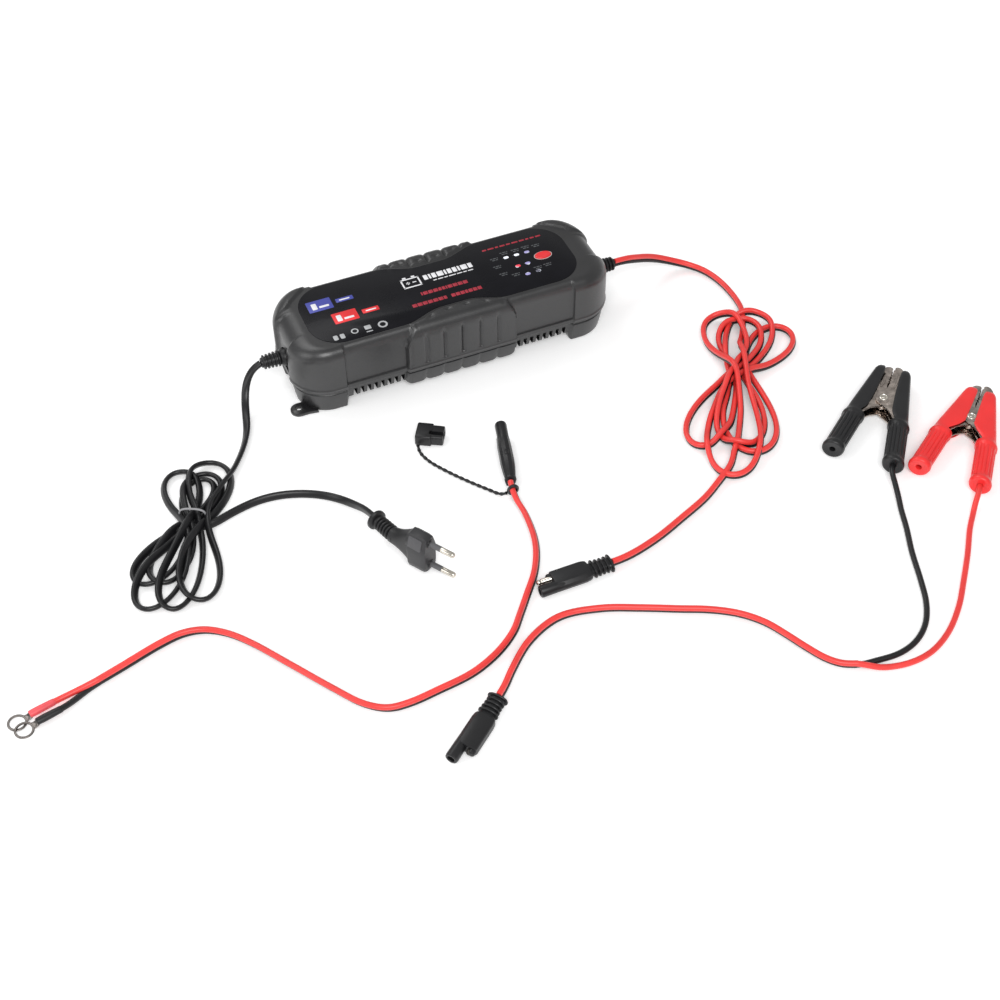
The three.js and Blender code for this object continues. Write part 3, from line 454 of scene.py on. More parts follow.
def hank(facts):
    """A hank's whole line: in, lobe after lobe through its waist, and out, laid down on the floor."""
    slots = [facts["across"] * slot for slot in facts["slots"]]
    heights = facts["heights"]
    parts = [facts["lead_in"]]
    for number, (angle, reach, width, side) in enumerate(facts["lobes"]):
        loop = petal(facts["waist"], angle, reach, width, side)
        share = np.linspace(0, 1, len(loop))[:, None]
        fade = (1 - (1 - np.cos(2 * np.pi * share)) / 2) ** 1.5
        loop[:, :2] += fade * ((1 - share) * slots[number] + share * slots[number + 1])
        loop[:, 2] = heights[number] + share[:, 0] * (heights[number + 1] - heights[number])
        parts.append(loop[2:-2])
    rough = catmull(np.vstack([*parts, facts["lead_out"]]), 4)
    rough[:, 2] = np.maximum(rough[:, 2], facts["pitch"])
    return settle(rough, facts["pitch"])


def across_of(axis):
    """The level direction square to one that points `axis` radians from +X."""
    return np.array([-math.sin(axis), math.cos(axis)])


# A lobe is (angle, reach, width, side); `slots` places each crossing across the waist, `heights` above the
# floor, and `pitch` is half the spacing of turns that lie on one another.
MAINS_AXIS = math.radians(63)  # the way the bundle's long loops lie
MAINS_HANK = {
    "waist": (-214.7, -100),
    "across": across_of(MAINS_AXIS),
    "lobes": [(-103, 72, 28, 1), (60, 60, 32, -1), (-118, 79, 25, 1), (88, 55, 27, -1), (-131, 81, 28, 1),
              (62, 50, 28, -1), (-131, 58, 27, 1), (66, 46, 27, -1), (-143, 64, 27, 1)],
    "slots": [-3, -6.5, -5, 0, 3.5, -1.5, 2.5, 5.5, 1.5, 0],
    "heights": [12, 10.5, 10, 9, 5.5, 6, 5.5, 5, 3.5, 2],
    "lead_in": [[-183, -71, 6], [-193, -80, 10], [-204, -90, 12]],
    "lead_out": [[-203, -107, 2.2]],
    "pitch": 2.15,
}
OUTPUT_HANK = {
    "waist": (176.2, -119.7),
    "across": across_of(math.radians(60)),
    "lobes": [(-122, 102, 36, 1), (30, 67, 32, -1), (-111, 79, 38, 1), (52, 71, 36, -1), (-141, 82, 30, 1),
              (60, 62, 34, -1), (-118, 74, 34, 1), (77, 69, 30, -1)],
    "slots": [-1, 4, -5, 4, 5, 6, -3, 3, 1],
    "heights": [15, 7, 4, 4, 9, 10, 6, 10, 14],
    "lead_in": [[210, -62, 5], [203, -76, 9], [191, -97, 14]],
    "lead_out": [[161, -148, 10], [147, -171, 6], [130, -193, 4]],
    "pitch": 2.9,
}


def smoothed(line, rounds, floor=0.0):
    """Takes small kinks out of a line, its ends held and its lowest height kept."""
    line = line.copy()
    for _ in range(rounds):
        line[1:-1] += 0.5 * ((line[:-2] + line[2:]) / 2 - line[1:-1])
        line[:, 2] = np.maximum(line[:, 2], floor)
    return line


MAINS_LIE, TWIN_LIE, WIRE_LIE = 2.4, 3.8, 1.95  # height of each cord's axis where it lies on the floor


def mains_line():
    line = np.vstack([MAINS_FALL, on_floor(MAINS_RUN, MAINS_LIE), hank(MAINS_HANK)[1:-1],
                      on_floor(MAINS_OUT, MAINS_LIE), MAINS_RISE])
    return smoothed(catmull(line), 24, MAINS_LIE)


def output_line():
    loops = hank(OUTPUT_HANK)
    loops[:, 2] = np.maximum(loops[:, 2], TWIN_LIE)
    line = np.vstack([OUTPUT_FALL, on_floor(OUTPUT_RUN, TWIN_LIE), loops, on_floor(OUTPUT_OUT, TWIN_LIE),
                      OUTPUT_END])
    return smoothed(catmull(line), 16, TWIN_LIE)


def add_cord(name, line, section, lean, looks, nodes, *,
             side_looks=None):
    """A cord's mesh, and what it stands for in the frame."""
    cord = add_piece(name, sweep(line, section, lean, side_looks), looks, nodes, angle=50)


def mains_lean(line):
    """The flat sheath leaves the case flat, lies tilted, and stands up in the plug's plane at its end."""
    t = tangents(line)
    flat = np.stack([-t[:, 1], t[:, 0], np.zeros(len(t))], 1)
    upright = np.array([0, 0, 1.0])
    done = np.concatenate([[0], np.cumsum(np.linalg.norm(np.diff(line, axis=0), axis=1))])
    share = 0.6 * rise((done - 20) / 50) + 0.4 * rise(1 - (done[-1] - done - 8) / 34)
    return (1 - share[:, None]) * flat + share[:, None] * upright


def make_mains_cord(plug_pieces):
    line = mains_line()
    add_cord("mains_cord", line, flat_section(), mains_lean(line), "mains",
             ["mains_cord_body_end", "mains_cord_hank", "mains_cord_plug_end"])


def add_twin(name, line, nodes):
    """A red and black twin lead."""
    section, side_looks = twin_section()
    add_cord(name, line, section, TWIN_LEAN, ["core_red", "core_black"], nodes,
             side_looks=side_looks)


def add_wire(name, line, color, node):
    """One core that has left its twin lead."""
    add_cord(name, line, circle(CORE_RADIUS, 18), (0, 0, 1.0), f"core_{color}", node)


def make_output_cord(connector_pieces):
    nodes = ["output_lead_body_end", "output_lead_hank", "output_lead_connector_end"]
    add_twin("output_lead", output_line(), nodes)


# ------------------------------------------------------------------ case: outline and fields
CASE_HALF = (117.0, 36.0)
CASE_CORNER = 24.0
AROUND = 840  # points round the case
ROOF = 55.95
SEAM = 19.0
BELLY = 6.0
ROOF_INSIDE, FLOOR_INSIDE, WALL = 52.6, 8.6, 3.0
WALL_TOP = 42.5  # the wall runs straight up to here, and then on to the shoulder
CORE_INSET = 19.0  # from here to the middle line the roof and floor rows just shrink in width
GUARD_START, GUARD_GAP, GUARD_PROUD = 84.6, 11.5, 2.3
GRIP_HALF, GRIP_PROUD, RIB_PITCH, RIB_DEPTH = 41.5, 3.5, 13.4, 1.6
LABEL_LEFT, LABEL_RIGHT, LABEL_HALF, LABEL_CORNER = -101.0, 97.5, 30.9, 22.0
PAD_EDGE = ([86.0, 87.5, 91, 98, 108, 122], [44, 37, 31, 25.5, 16.5, 13])  # inner edge of a back corner pad


def rim():
    """Even points round the case, anticlockwise from the middle of the +X end, and their normals."""
    flat_x, flat_y = CASE_HALF[0] - CASE_CORNER, CASE_HALF[1] - CASE_CORNER
    points, normals = [(CASE_HALF[0], 0)], [(1, 0)]
    for quarter, (side_x, side_y) in enumerate([(1, 1), (-1, 1), (-1, -1), (1, -1)]):
        for a in np.linspace(0, math.pi / 2, 120) + quarter * math.pi / 2:
            u, v = math.cos(a), math.sin(a)
            normals.append((u, v))
            points.append((side_x * flat_x + CASE_CORNER * u, side_y * flat_y + CASE_CORNER * v))
    points, normals = np.array(points + points[:1]), np.array(normals + normals[:1])
    along = np.concatenate([[0], np.cumsum(np.linalg.norm(np.diff(points, axis=0), axis=1))])
    where = np.arange(AROUND) * along[-1] / AROUND
    point = np.stack([np.interp(where, along, points[:, k]) for k in (0, 1)], 1)
    normal = np.stack([np.interp(where, along, normals[:, k]) for k in (0, 1)], 1)
    return point, normal / np.linalg.norm(normal, axis=1)[:, None]


RIM, RIM_NORMAL = rim()


def inset_row(inset):
    """The outline moved inwards; past CORE_INSET only its width shrinks."""
    inset = np.broadcast_to(np.asarray(inset, float), (AROUND,))
    row = RIM - np.minimum(inset, CORE_INSET)[:, None] * RIM_NORMAL
    core_half = CASE_HALF[1] - CORE_INSET
    row[:, 1] *= 1 - np.clip((inset - CORE_INSET) / core_half, 0, 1)
    return row


def rib_hollow(x):
    """0 on the middle of a grip rib, 1 in the groove beside it."""
    return np.abs(2 * ((x / RIB_PITCH) % 1) - 1) ** 5


def grip_zone(x, z):
    """1 on the side grips, which narrow towards the roof."""
    half = GRIP_HALF - 5.5 * np.clip((z - 38) / 16, 0, 1) ** 2
    return rise((half - np.abs(x)) / 1.3)


def wall_proud(x, y, z):
    """How far the wall stands out of the plain outline: guards, grips and the lip under the panels."""
    guard = rise((np.abs(x) - GUARD_START) / 1.1) * rise((np.abs(y) - GUARD_GAP) / 2.5)
    long_side = rise((np.abs(y) - 30) / 3)
    grip = grip_zone(x, z) * long_side
    deep = np.where(z > SEAM, rise((np.where(y > 0, 58, 52) - z) / 6), 0.4)
    ribs = RIB_DEPTH * deep * rib_hollow(x) * rise((40 - np.abs(x)) / 3) * rise((np.abs(z - SEAM) - 5) / 1.5)
    bead = 0.45 * np.exp(-((z - SEAM - 3) / 0.9) ** 2)
    lip = 1.2 * rise((SEAM + 4.2 - z) / 0.6) * rise((z - SEAM + 1) / 0.2) * (1 - guard)
    plain = GUARD_PROUD * guard + grip * (GRIP_PROUD - ribs)
    return plain + lip * (1 - grip) + bead * np.maximum(grip, guard)


def grip_reach(x):
    """Distance from the middle line at which a grip's top begins."""
    return LABEL_HALF + 0.6 - 8.0 * (0.5 + 0.5 * np.cos(np.pi * np.clip((np.abs(x) - 9) / 30, 0, 1)))


def roof_rise(x, y):
    """Height of the grip tops and back corner pads above the plain roof."""
    reach = grip_reach(x)
    deep = np.abs(y) - reach
    top = 1.45 * rise(deep / 3.2) * rise((37.5 - np.abs(x)) / 5)
    off_rib = ((x / RIB_PITCH) % 1 - 0.5) * RIB_PITCH
    dimple = 1.0 * np.exp(-(off_rib / 2.2) ** 2 - ((deep - 4.6) / 1.5) ** 2) * rise((34 - np.abs(x)) / 3)
    groove = 1.7 * rib_hollow(x) * rise((deep - 0.8) / 2.5) * rise((37 - np.abs(x)) / 3) * (y > 0)
    pad_y = np.interp(np.abs(x), *PAD_EDGE)
    pad = 1.7 * rise((y - pad_y) / 2.4) * rise((np.abs(x) - 85.6) / 1.2)
    return top - dimple - groove + pad


# ------------------------------------------------------------------ case: shells
def upper_rows():
    """Rows of points from the inside of the roof, down, under the rim, and up the outside to the roof."""
    end = RIM_NORMAL[:, 0] ** 2  # 1 on the ends, 0 on the long sides
    shoulder_in, shoulder_down = 5.2 + 8 * end, 8.2 + 4 * end
    rows = []

    def place(inset, height, proud=1.0, lift=0.0):
        row = inset_row(inset)
        height = np.broadcast_to(height, (AROUND,)).astype(float)
        out = proud * wall_proud(RIM[:, 0], RIM[:, 1], height)
        row = row + out[:, None] * RIM_NORMAL
        height = height + lift * roof_rise(row[:, 0], row[:, 1])
        rows.append(np.column_stack([row, height]))

    for inset in (33, 26, 20, 14, 10):
        place(inset, ROOF_INSIDE, 0)
    for height in (50, 40, 30, SEAM + 0.15):
        place(WALL, height, 0)
    place(0.9, SEAM + 0.15, 1)
    place(0.25, SEAM + 0.2, 1)
    place(0.0, SEAM + 0.55, 1)
    top = ROOF - shoulder_down
    fine, coarse = np.arange(SEAM + 1.2, SEAM + 6, 0.42), np.arange(SEAM + 6.2, WALL_TOP, 1.1)
    for height in [*fine, *coarse]:
        place(0.0, height, 1)
    for share in (0.25, 0.5, 0.75, 1.0):
        place(0.0, WALL_TOP + share * (top - WALL_TOP), 1)
    for turn in np.radians(np.linspace(6, 90, 15)):
        u, v = math.cos(turn), math.sin(turn)
        place(shoulder_in * (1 - u), top + shoulder_down * v, u ** 0.7, v)
    for share in np.linspace(0, 1, 26)[1:]:
        place(shoulder_in + share * (CORE_INSET - shoulder_in), ROOF, 0, 1)
    for inset in (20.5, 23, 27, 32, 35.2):
        place(inset, ROOF, 0)
    return rows


def foot(x, y):
    """1 where the underside stands on the floor."""
    return rise((np.abs(x) - 83.4) / 1.4) * rise((np.abs(y) - 11) / 2)


def belly(x, y):
    """Height of the underside: feet at the corners, scallops under the grip ribs."""
    rib = (1 - rib_hollow(x)) * rise((41.5 - np.abs(x)) / 1.2) * rise((np.abs(y) - 26) / 3)
    return BELLY - (BELLY - 0.05) * foot(x, y) - 2.2 * rib


def lower_rows():
    rows = []

    def place(inset, share, proud=1.0, height=None):
        """share goes from 0 at the seam to 1 at the underside."""
        row = inset_row(inset)
        out = proud * wall_proud(RIM[:, 0], RIM[:, 1], np.full(AROUND, SEAM - 6.0))
        row = row + out[:, None] * RIM_NORMAL
        if height is None:
            ground = belly(RIM[:, 0], RIM[:, 1]) if share < 1 else belly(row[:, 0], row[:, 1])
            height = SEAM - 0.2 - share * (SEAM - 0.2 - ground)
        rows.append(np.column_stack([row, np.broadcast_to(height, (AROUND,))]))

    for inset in (34, 27, 20, 12):
        place(inset, 0, 0, FLOOR_INSIDE)
    for height in (FLOOR_INSIDE + 0.6, 14, SEAM - 0.2):
        place(WALL + 2.4, 0, 0, height)
    for inset, share in ((3.4, 0.0), (2.9, 0.0), (2.8, 0.1), (2.4, 0.13), (1.7, 0.15)):
        place(inset, share, 1)
    for share in np.linspace(0.18, 0.93, 20):
        place(1.5 + 2.9 * share ** 1.5, share, 1)
    place(4.5, 0.965, 1)
    place(5.1, 0.99, 0.95)
    for inset in np.concatenate([np.arange(6.0, CORE_INSET, 0.9), [20, 23, 27, 32, 35.2]]):
        place(inset, 1.0, 1 if inset < 9 else 0)
    return rows


def shell_mesh(rows):
    """Joins the rows into one closed surface, stitched along the middle line at both ends."""
    points = np.vstack(rows)
    faces = grid_faces(len(rows), AROUND)
    last = (len(rows) - 1) * AROUND
    for j in range(AROUND // 2):
        a, b = j, j + 1
        c, d = AROUND - 1 - j, (AROUND - j) % AROUND
        for start, turn in ((0, -1), (last, 1)):
            ring = list(dict.fromkeys(start + n for n in (a, b, c, d)))
            if len(ring) > 2:
                faces.append(ring[::turn])
    return points, faces


def cut_by(obj, cutters):
    """Boolean difference, applied; the cutters are removed."""
    bpy.context.view_layer.objects.active = obj
    for cutter in cutters:
        change = obj.modifiers.new("cut", "BOOLEAN")
        change.operation = "DIFFERENCE"
        change.solver = "EXACT"
        change.object = cutter
        bpy.ops.object.modifier_apply(modifier=change.name)
        bpy.data.objects.remove(cutter)


def block(x0, x1, y0, y1, z0, z1):
    corners = [(x, y, z) for z in (z0, z1) for x, y in ((x0, y0), (x1, y0), (x1, y1), (x0, y1))]
    sides = [[i, (i + 1) % 4, 4 + (i + 1) % 4, 4 + i] for i in range(4)]
    return corners, [[3, 2, 1, 0], [4, 5, 6, 7], *sides]


VENT_STARTS = [-80 + 5 * n for n in range(8)] + [43 + 5 * n for n in range(8)]
VENT_WIDE, VENT_TOP = 2.6, 14.6


def make_case():
    """Both shells: the upper one has the button's opening, the lower one the air slots."""
    add_piece("upper_case_shell", shell_mesh(upper_rows()), "case", "upper_case",
              cutters=[button_hole()])
    slots = [block(x, x + VENT_WIDE, *reach, 3, VENT_TOP)
             for x in VENT_STARTS for reach in ((-44, -26), (26, 44))]
    add_piece("lower_case_shell", shell_mesh(lower_rows()), "case", "lower_case",
              cutters=[merged(slots)])
    make_ears()


EAR_RADIUS, EAR_HOLE, EAR_LIP, EAR_THICK = 6.0, 2.3, 3.6, 3.0
EARS = {"mounting_ear_mains_end": (-118, -25, -1), "mounting_ear_output_end": (118, 25, 1)}


def make_ears():
    """Flat lugs with a raised ring round the screw hole, running back into the lower shell."""
    for name, (x, y, side) in EARS.items():
        outer = [(EAR_RADIUS * math.cos(t), EAR_RADIUS * math.sin(t))
                 for t in np.linspace(-math.pi / 2, math.pi / 2, 25)]
        outer += [(-6, EAR_RADIUS), (-12, 7), (-12, -7), (-6, -EAR_RADIUS)]
        angles = [math.atan2(v, u) for u, v in outer]
        hole, lip, slope = [[(r * math.cos(t), r * math.sin(t)) for t in angles]
                            for r in (EAR_HOLE, EAR_LIP, EAR_LIP + 1)]
        edge = [(u * 0.96, v * 0.96) for u, v in outer]
        plate = EAR_THICK - 0.8
        levels = [(hole, 0.05), (edge, 0.05), (outer, 0.3), (outer, plate - 0.3), (edge, plate),
                  (slope, plate), (lip, EAR_THICK), (hole, EAR_THICK)]
        points = [(x + side * u, y + side * v, z) for ring, z in levels for u, v in ring]
        faces = grid_faces(len(levels), len(outer), looped=True)
        add_piece(name, (points, faces), "case")


# ------------------------------------------------------------------ lofted solids
def station(x, half_wide, half_high, power=2.0, y=0.0, z=0.0, sides=32):
    """A superellipse ring standing across the X axis."""
    oval = soft_oval(half_wide, half_high, power, sides)
    return np.column_stack([np.full(sides, float(x)), y + oval[:, 0], z + oval[:, 1]])


def level(x, y, z, half_long, half_wide, power, sides):
    """A superellipse ring lying flat at height z."""
    return np.column_stack([soft_oval(half_long, half_wide, power, sides) + [x, y], np.full(sides, z)])


def turned(profile, *, sides, y=0.0, z=0.0, flat=1.0):
    """Lathe round a line parallel to X; profile is (x, radius), flat squeezes its height."""
    return ring_mesh([station(x, max(r, 0.02), max(r, 0.02) * flat, 2, y, z, sides) for x, r in profile])


def slab(outline, z0, z1, edge):
    """A plate of any outline with a small round along its top edge."""
    outline = np.asarray(outline, float)
    ahead = np.roll(outline, -1, 0) - np.roll(outline, 1, 0)
    inward = np.stack([-ahead[:, 1], ahead[:, 0]], 1) / np.linalg.norm(ahead, axis=1)[:, None]
    levels = [(0.0, z0), (0.0, z1 - edge), (0.3 * edge, z1 - 0.3 * edge), (edge, z1)]
    return ring_mesh([np.column_stack([outline + inset * inward, np.full(len(outline), z)])
                      for inset, z in levels])


def oval_outline(x, y, half_long, half_wide, count=40):
    return soft_oval(half_long, half_wide, 2, count) + [x, y]


def bar_outline(x0, x1, y0, y1, radius=0.5):
    """Rectangle with round corners, anticlockwise."""
    left, right, low, high = x0 + radius, x1 - radius, y0 + radius, y1 - radius
    points = []
    for n, (x, y) in enumerate([(right, high), (left, high), (left, low), (right, low)]):
        for a in np.linspace(0, math.pi / 2, 5) + n * math.pi / 2:
            points.append((x + radius * math.cos(a), y + radius * math.sin(a)))
    return points


def lathe_up(profile, x=0.0, y=0.0, count=44, squeeze=0.0):
    """Closed ring from a (radius, height) loop turned about a vertical line.

    squeeze makes it an oval, that much smaller along Y.
    """
    a = np.linspace(0, 2 * np.pi, count, endpoint=False)
    points = [np.column_stack([x + r * np.cos(a), y + (r - squeeze) * np.sin(a), np.full(count, z)])
              for r, z in profile]
    return np.vstack(points), grid_faces(len(profile), count, looped=True)


def hoop(x, y, outer, inner, z0, z1, squeeze=0.0):
    """A flat ring, round or oval."""
    return lathe_up([(inner, z0), (outer, z0), (outer, z1), (inner, z1)], x, y, 40, squeeze)


# ------------------------------------------------------------------ top panel
FILM_TOP = 56.25
PRINT_FOOT, PRINT_TOP = FILM_TOP - 0.05, FILM_TOP + 0.04
BUTTON = {"x": 77.2, "y": -0.8, "half_long": 6.0, "half_wide": 3.6, "top": 57.2, "play": 0.3}
BUTTON_RING = (6.75, 6.3, PRINT_FOOT, FILM_TOP + 0.2, 2.4975)  # outer, inner, foot, top, less along Y


def film_outline():
    """Round-cornered strip with a bite on each side for the grips."""
    middle, half = (LABEL_LEFT + LABEL_RIGHT) / 2, (LABEL_RIGHT - LABEL_LEFT) / 2
    corner = np.linspace(0, math.pi / 2, 22)[1:-1]
    far = half - LABEL_CORNER + LABEL_CORNER * np.cos(corner[::-1])
    x = np.concatenate([middle - far[::-1], np.linspace(middle - half + LABEL_CORNER,
                                                        middle + half - LABEL_CORNER, 100), middle + far])
    over = np.maximum(0, np.abs(x - middle) - (half - LABEL_CORNER))
    width = LABEL_HALF - LABEL_CORNER + np.sqrt(np.maximum(LABEL_CORNER ** 2 - over ** 2, 0))
    width = np.minimum(width, grip_reach(x) - 0.6)
    ends = [(LABEL_LEFT, LABEL_HALF - LABEL_CORNER), (LABEL_RIGHT, LABEL_HALF - LABEL_CORNER)]
    front = np.column_stack([x, -width])
    front = np.vstack([(ends[0][0], -ends[0][1]), front, (ends[1][0], -ends[1][1])])
    return np.vstack([front, front[::-1] * [1, -1]])


HOLE_LOW, HOLE_HIGH = 50, 60  # the button's opening goes through the roof and the film


def button_hole():
    """The button's opening, as a solid to cut with."""
    half_long, half_wide = BUTTON["half_long"] + BUTTON["play"], BUTTON["half_wide"] + BUTTON["play"]
    return slab(oval_outline(BUTTON["x"], BUTTON["y"], half_long, half_wide), HOLE_LOW, HOLE_HIGH, 0.01)


def make_film():
    film = slab(film_outline(), ROOF - 0.35, FILM_TOP, 0.18)
    add_piece("panel_film", film, "label", "front_label", cutters=[button_hole()])


def inked(outlines, top=PRINT_TOP):
    """Flat plates standing just proud of the film."""
    return [slab(outline, PRINT_FOOT, top, 0.02) for outline in outlines]


def printed(name, solids, look):
    """One colour of the print."""
    add_piece(name, merged(solids), look)


def word_bars(x0, x1, y, height, widths, gap=0.55):
    """A row of plain blocks of the given relative widths, filling x0 to x1."""
    unit = (x1 - x0 - gap * (len(widths) - 1)) / sum(widths)
    shapes, x = [], x0
    for width in widths:
        end = x + width * unit
        shapes.append(bar_outline(x, end, y - height / 2, y + height / 2, min(0.3, width * unit / 3)))
        x = end + gap
    return shapes


OVER_TOP = PRINT_TOP + 0.03  # for print that lies on a printed block


def make_print():
    """Plain blocks and bars where the panel carries its printing."""
    blue = [bar_outline(-94.5, -77, 5.5, 17), bar_outline(-74, -61.5, 9, 13)]
    printed("print_blue", inked(blue), "blue_ink")
    red = [bar_outline(-82, -64.5, -12, -1), bar_outline(-61, -49, -9, -4.6)]
    printed("print_red_blocks", inked(red), "bright_red_ink")
    white = []
    for x, y in ((-91.5, 11), (-79.5, -6.8)):
        white.append(bar_outline(x, x + 3.6, y - 3.2, y + 3.2, 0.6))
        white.append(bar_outline(x + 5, x + 12, y - 2.6, y - 0.6, 0.4))
    for x, y in ((-71.5, 11), (-58.5, -6.8)):
        white.append(bar_outline(x, x + 7.5, y - 0.6, y + 0.6, 0.3))
    white += [bar_outline(-26, -12.4, y, y + 1.1, 0.3) for y in (3.6, 12.4)]
    white += [bar_outline(x, x + 1.1, 4, 13.2, 0.3) for x in (-26, -13.5)]
    white += [bar_outline(x, x + 2.6, 13.8, 15.3, 0.3) for x in (-23.8, -17.2)]
    white += [bar_outline(-22.9, -20.1, 8.1, 9.0, 0.2), bar_outline(-21.9, -21.0, 7.2, 9.9, 0.2),
              bar_outline(-18.2, -15.4, 8.1, 9.0, 0.2)]
    white += word_bars(-9.5, 27, 9.9, 5.0, [2, 1, 2, 3, 1, 2, 2, 1, 3, 2], 0.9)
    white += word_bars(-4, 26, 4.8, 0.9, [2, 3, 2, 4, 3, 2, 3], 0.8)
    printed("print_white", inked(white, OVER_TOP), "white_ink")
    red = (word_bars(-17.3, 17.3, -5.6, 3.3, [1, 3, 3, 3, 2, 2, 1, 3, 3, 3, 3])
           + word_bars(-27.4, -2, -15.4, 3.3, [3, 3, 3, 3, 3, 3, 2])
           + word_bars(1.5, 24, -15.4, 3.3, [3, 3, 3, 2, 3, 3, 3])
           + word_bars(39.4, 84.5, 20.6, 1.5, [4, 6, 3, 5, 4, 6, 5, 3, 4, 5], 1.1))
    printed("print_red_lines", inked(red), "red_ink")
    grey = []
    for x, y in ((43.8, 8.6), (42.6, 0), (43.6, -8.8), (52.7, 12.4), (61.3, 12.2), (69.3, 12.6),
                 (76.8, 11.4), (51.4, -12.6), (68.6, -11.6), (76.2, -11.2)):
        grey += word_bars(x - 3, x + 3, y + 0.8, 1.0, [2, 3, 1], 0.5)
        grey += word_bars(x - 2, x + 2.4, y - 1.0, 1.0, [3, 2], 0.5)
    printed("print_grey", inked(grey), "dim_ink")
    icons = [hoop(*ring, PRINT_FOOT, PRINT_TOP)
             for ring in ((-72.5, -23.4, 2.6, 1.7), (-52.6, -24.3, 3.4, 2.1))]
    icons += inked([bar_outline(*bar) for bar in (
        (-88.2, -85.0, -27.4, -22.6, 0.9), (-83.4, -80.2, -27.4, -22.6, 0.9),
        (-65.4, -60.8, -25.2, -21.2, 0.6), (-65.4, -60.8, -28.0, -27.0, 0.3))])
    printed("print_icons", icons, "grey_ink")
    printed("button_ring", [hoop(BUTTON["x"], BUTTON["y"], *BUTTON_RING)], "rim")


LAMPS = [(52.2, 7.3, "lamp_white"), (60.3, 7.2, "lamp_white"), (68.2, 7.2, "lamp_lilac"),
         (56.3, -4.5, "lamp_red"), (63.9, -4.3, "lamp_lilac"), (59.3, -15.2, "lamp_lilac"),
         (67.4, -15.0, "lamp_dim")]
GLOW = {"lamp_white": ((0.85, 0.88, 0.95), 0.35), "lamp_lilac": ((0.36, 0.33, 0.62), 0.12),
        "lamp_red": ((0.75, 0.04, 0.07), 0.5), "lamp_dim": ((0.10, 0.10, 0.14), 0.0)}


def make_lamps():
    """Seven small windows, each a soft lens standing in the film."""
    for name, (color, glow) in GLOW.items():
        LOOKS[name] = principled(name, color, 0.25, coat=0.5, glow=glow, glow_color=color)
    for number, (x, y, kind) in enumerate(LAMPS, 1):
        rings = []
        for share in (1.0, 1.0, 0.94, 0.75, 0.45, 0.1):
            lift = 0.0 if not rings else 0.12 + 0.22 * math.sqrt(1 - share ** 2)
            rings.append(level(x, y, FILM_TOP - 0.1 + lift, 1.9 * share, 1.25 * share, 3, 24))
        add_piece(f"lamp_{number}", ring_mesh(rings), kind, angle=60)


def make_button():
    """Oval cap with a rolled edge and a shallow dish."""
    x, y, top = BUTTON["x"], BUTTON["y"], BUTTON["top"]
    profile = [(1.0, ROOF - 1.6), (1.0, top - 0.55), (0.985, top - 0.3), (0.94, top - 0.1), (0.86, top),
               (0.74, top - 0.02), (0.5, top - 0.14), (0.25, top - 0.2), (0.05, top - 0.22)]
    half_long, half_wide = BUTTON["half_long"], BUTTON["half_wide"]
    rings = [level(x, y, z, half_long * share, half_wide * share, 2.2, 40) for share, z in profile]
    add_piece("mode_button_cap", ring_mesh(rings), "button", "mode_button", body="mode_button",
              angle=50)


# ------------------------------------------------------------------ strain reliefs on the case
GLAND_HEIGHT = 30.0


def bellows(start, count, pitch, tall, low, taper):
    """Profile of a ribbed sleeve: each rib is a rounded disc, each a little smaller than the one before."""
    profile = []
    for n in range(count):
        x, r, s = start + n * pitch, tall - n * taper, low - n * taper * 0.7
        profile += [(x, s), (x + 0.12 * pitch, r - 0.25), (x + 0.2 * pitch, r), (x + 0.5 * pitch, r),
                    (x + 0.58 * pitch, r - 0.25), (x + 0.68 * pitch, s)]
    return profile


def make_strain_reliefs():
    last = 17.6
    profile = [(-6, 4.2), (-3, 6.8), (0.3, 6.9), (1.6, 6.7), (3.0, 5.9), (3.8, 5.0),
               *bellows(4.2, 5, 2.55, 5.9, 4.4, 0.16), (last - 0.9, 3.6), (last - 0.2, 3.5), (last, 3.1)]
    for cord, side, azimuth in (("mains", -1, 180), ("output", 1, 0)):
        spot = {"place": (side * CASE_HALF[0], 0, GLAND_HEIGHT), "azimuth": azimuth}
        add_piece(f"{cord}_relief", turned(profile, sides=36, flat=0.94), "relief",
                  f"{cord}_strain_relief", spot=spot)


# ------------------------------------------------------------------ two-pole connectors
POLE = 3.5
LONG_TIP, SHORT_TIP = 50.2, 43.5  # how far a bare contact reaches from the cable's end of its connector
OUTPUT_PLUG = {"place": (18, -239.6, 4.4), "azimuth": 180.4, "roll": 180}
RING_PLUG = {"place": (-13.1, -152.1, 7.4), "azimuth": 74.7, "roll": -90}
CLAMP_PLUG = {"place": (-88.8, -307.9, 4.4), "azimuth": 218.5, "roll": 0}


# The body's section as (y, z): a ridge off the middle on both broad faces.
BODY_SECTION = [(7.4, -2.2), (7.4, 2.2), (7.0, 2.9), (-1.0, 4.35), (-4.6, 3.8), (-6.7, 2.3), (-7.4, 0),
                (-6.7, -2.3), (-4.6, -3.8), (-1.0, -4.35), (7.0, -2.9)]


def body_ring(x, wide, high, shift):
    y, z = np.array(BODY_SECTION).T
    return np.column_stack([np.full(len(y), float(x)), shift + wide * y, high * z])


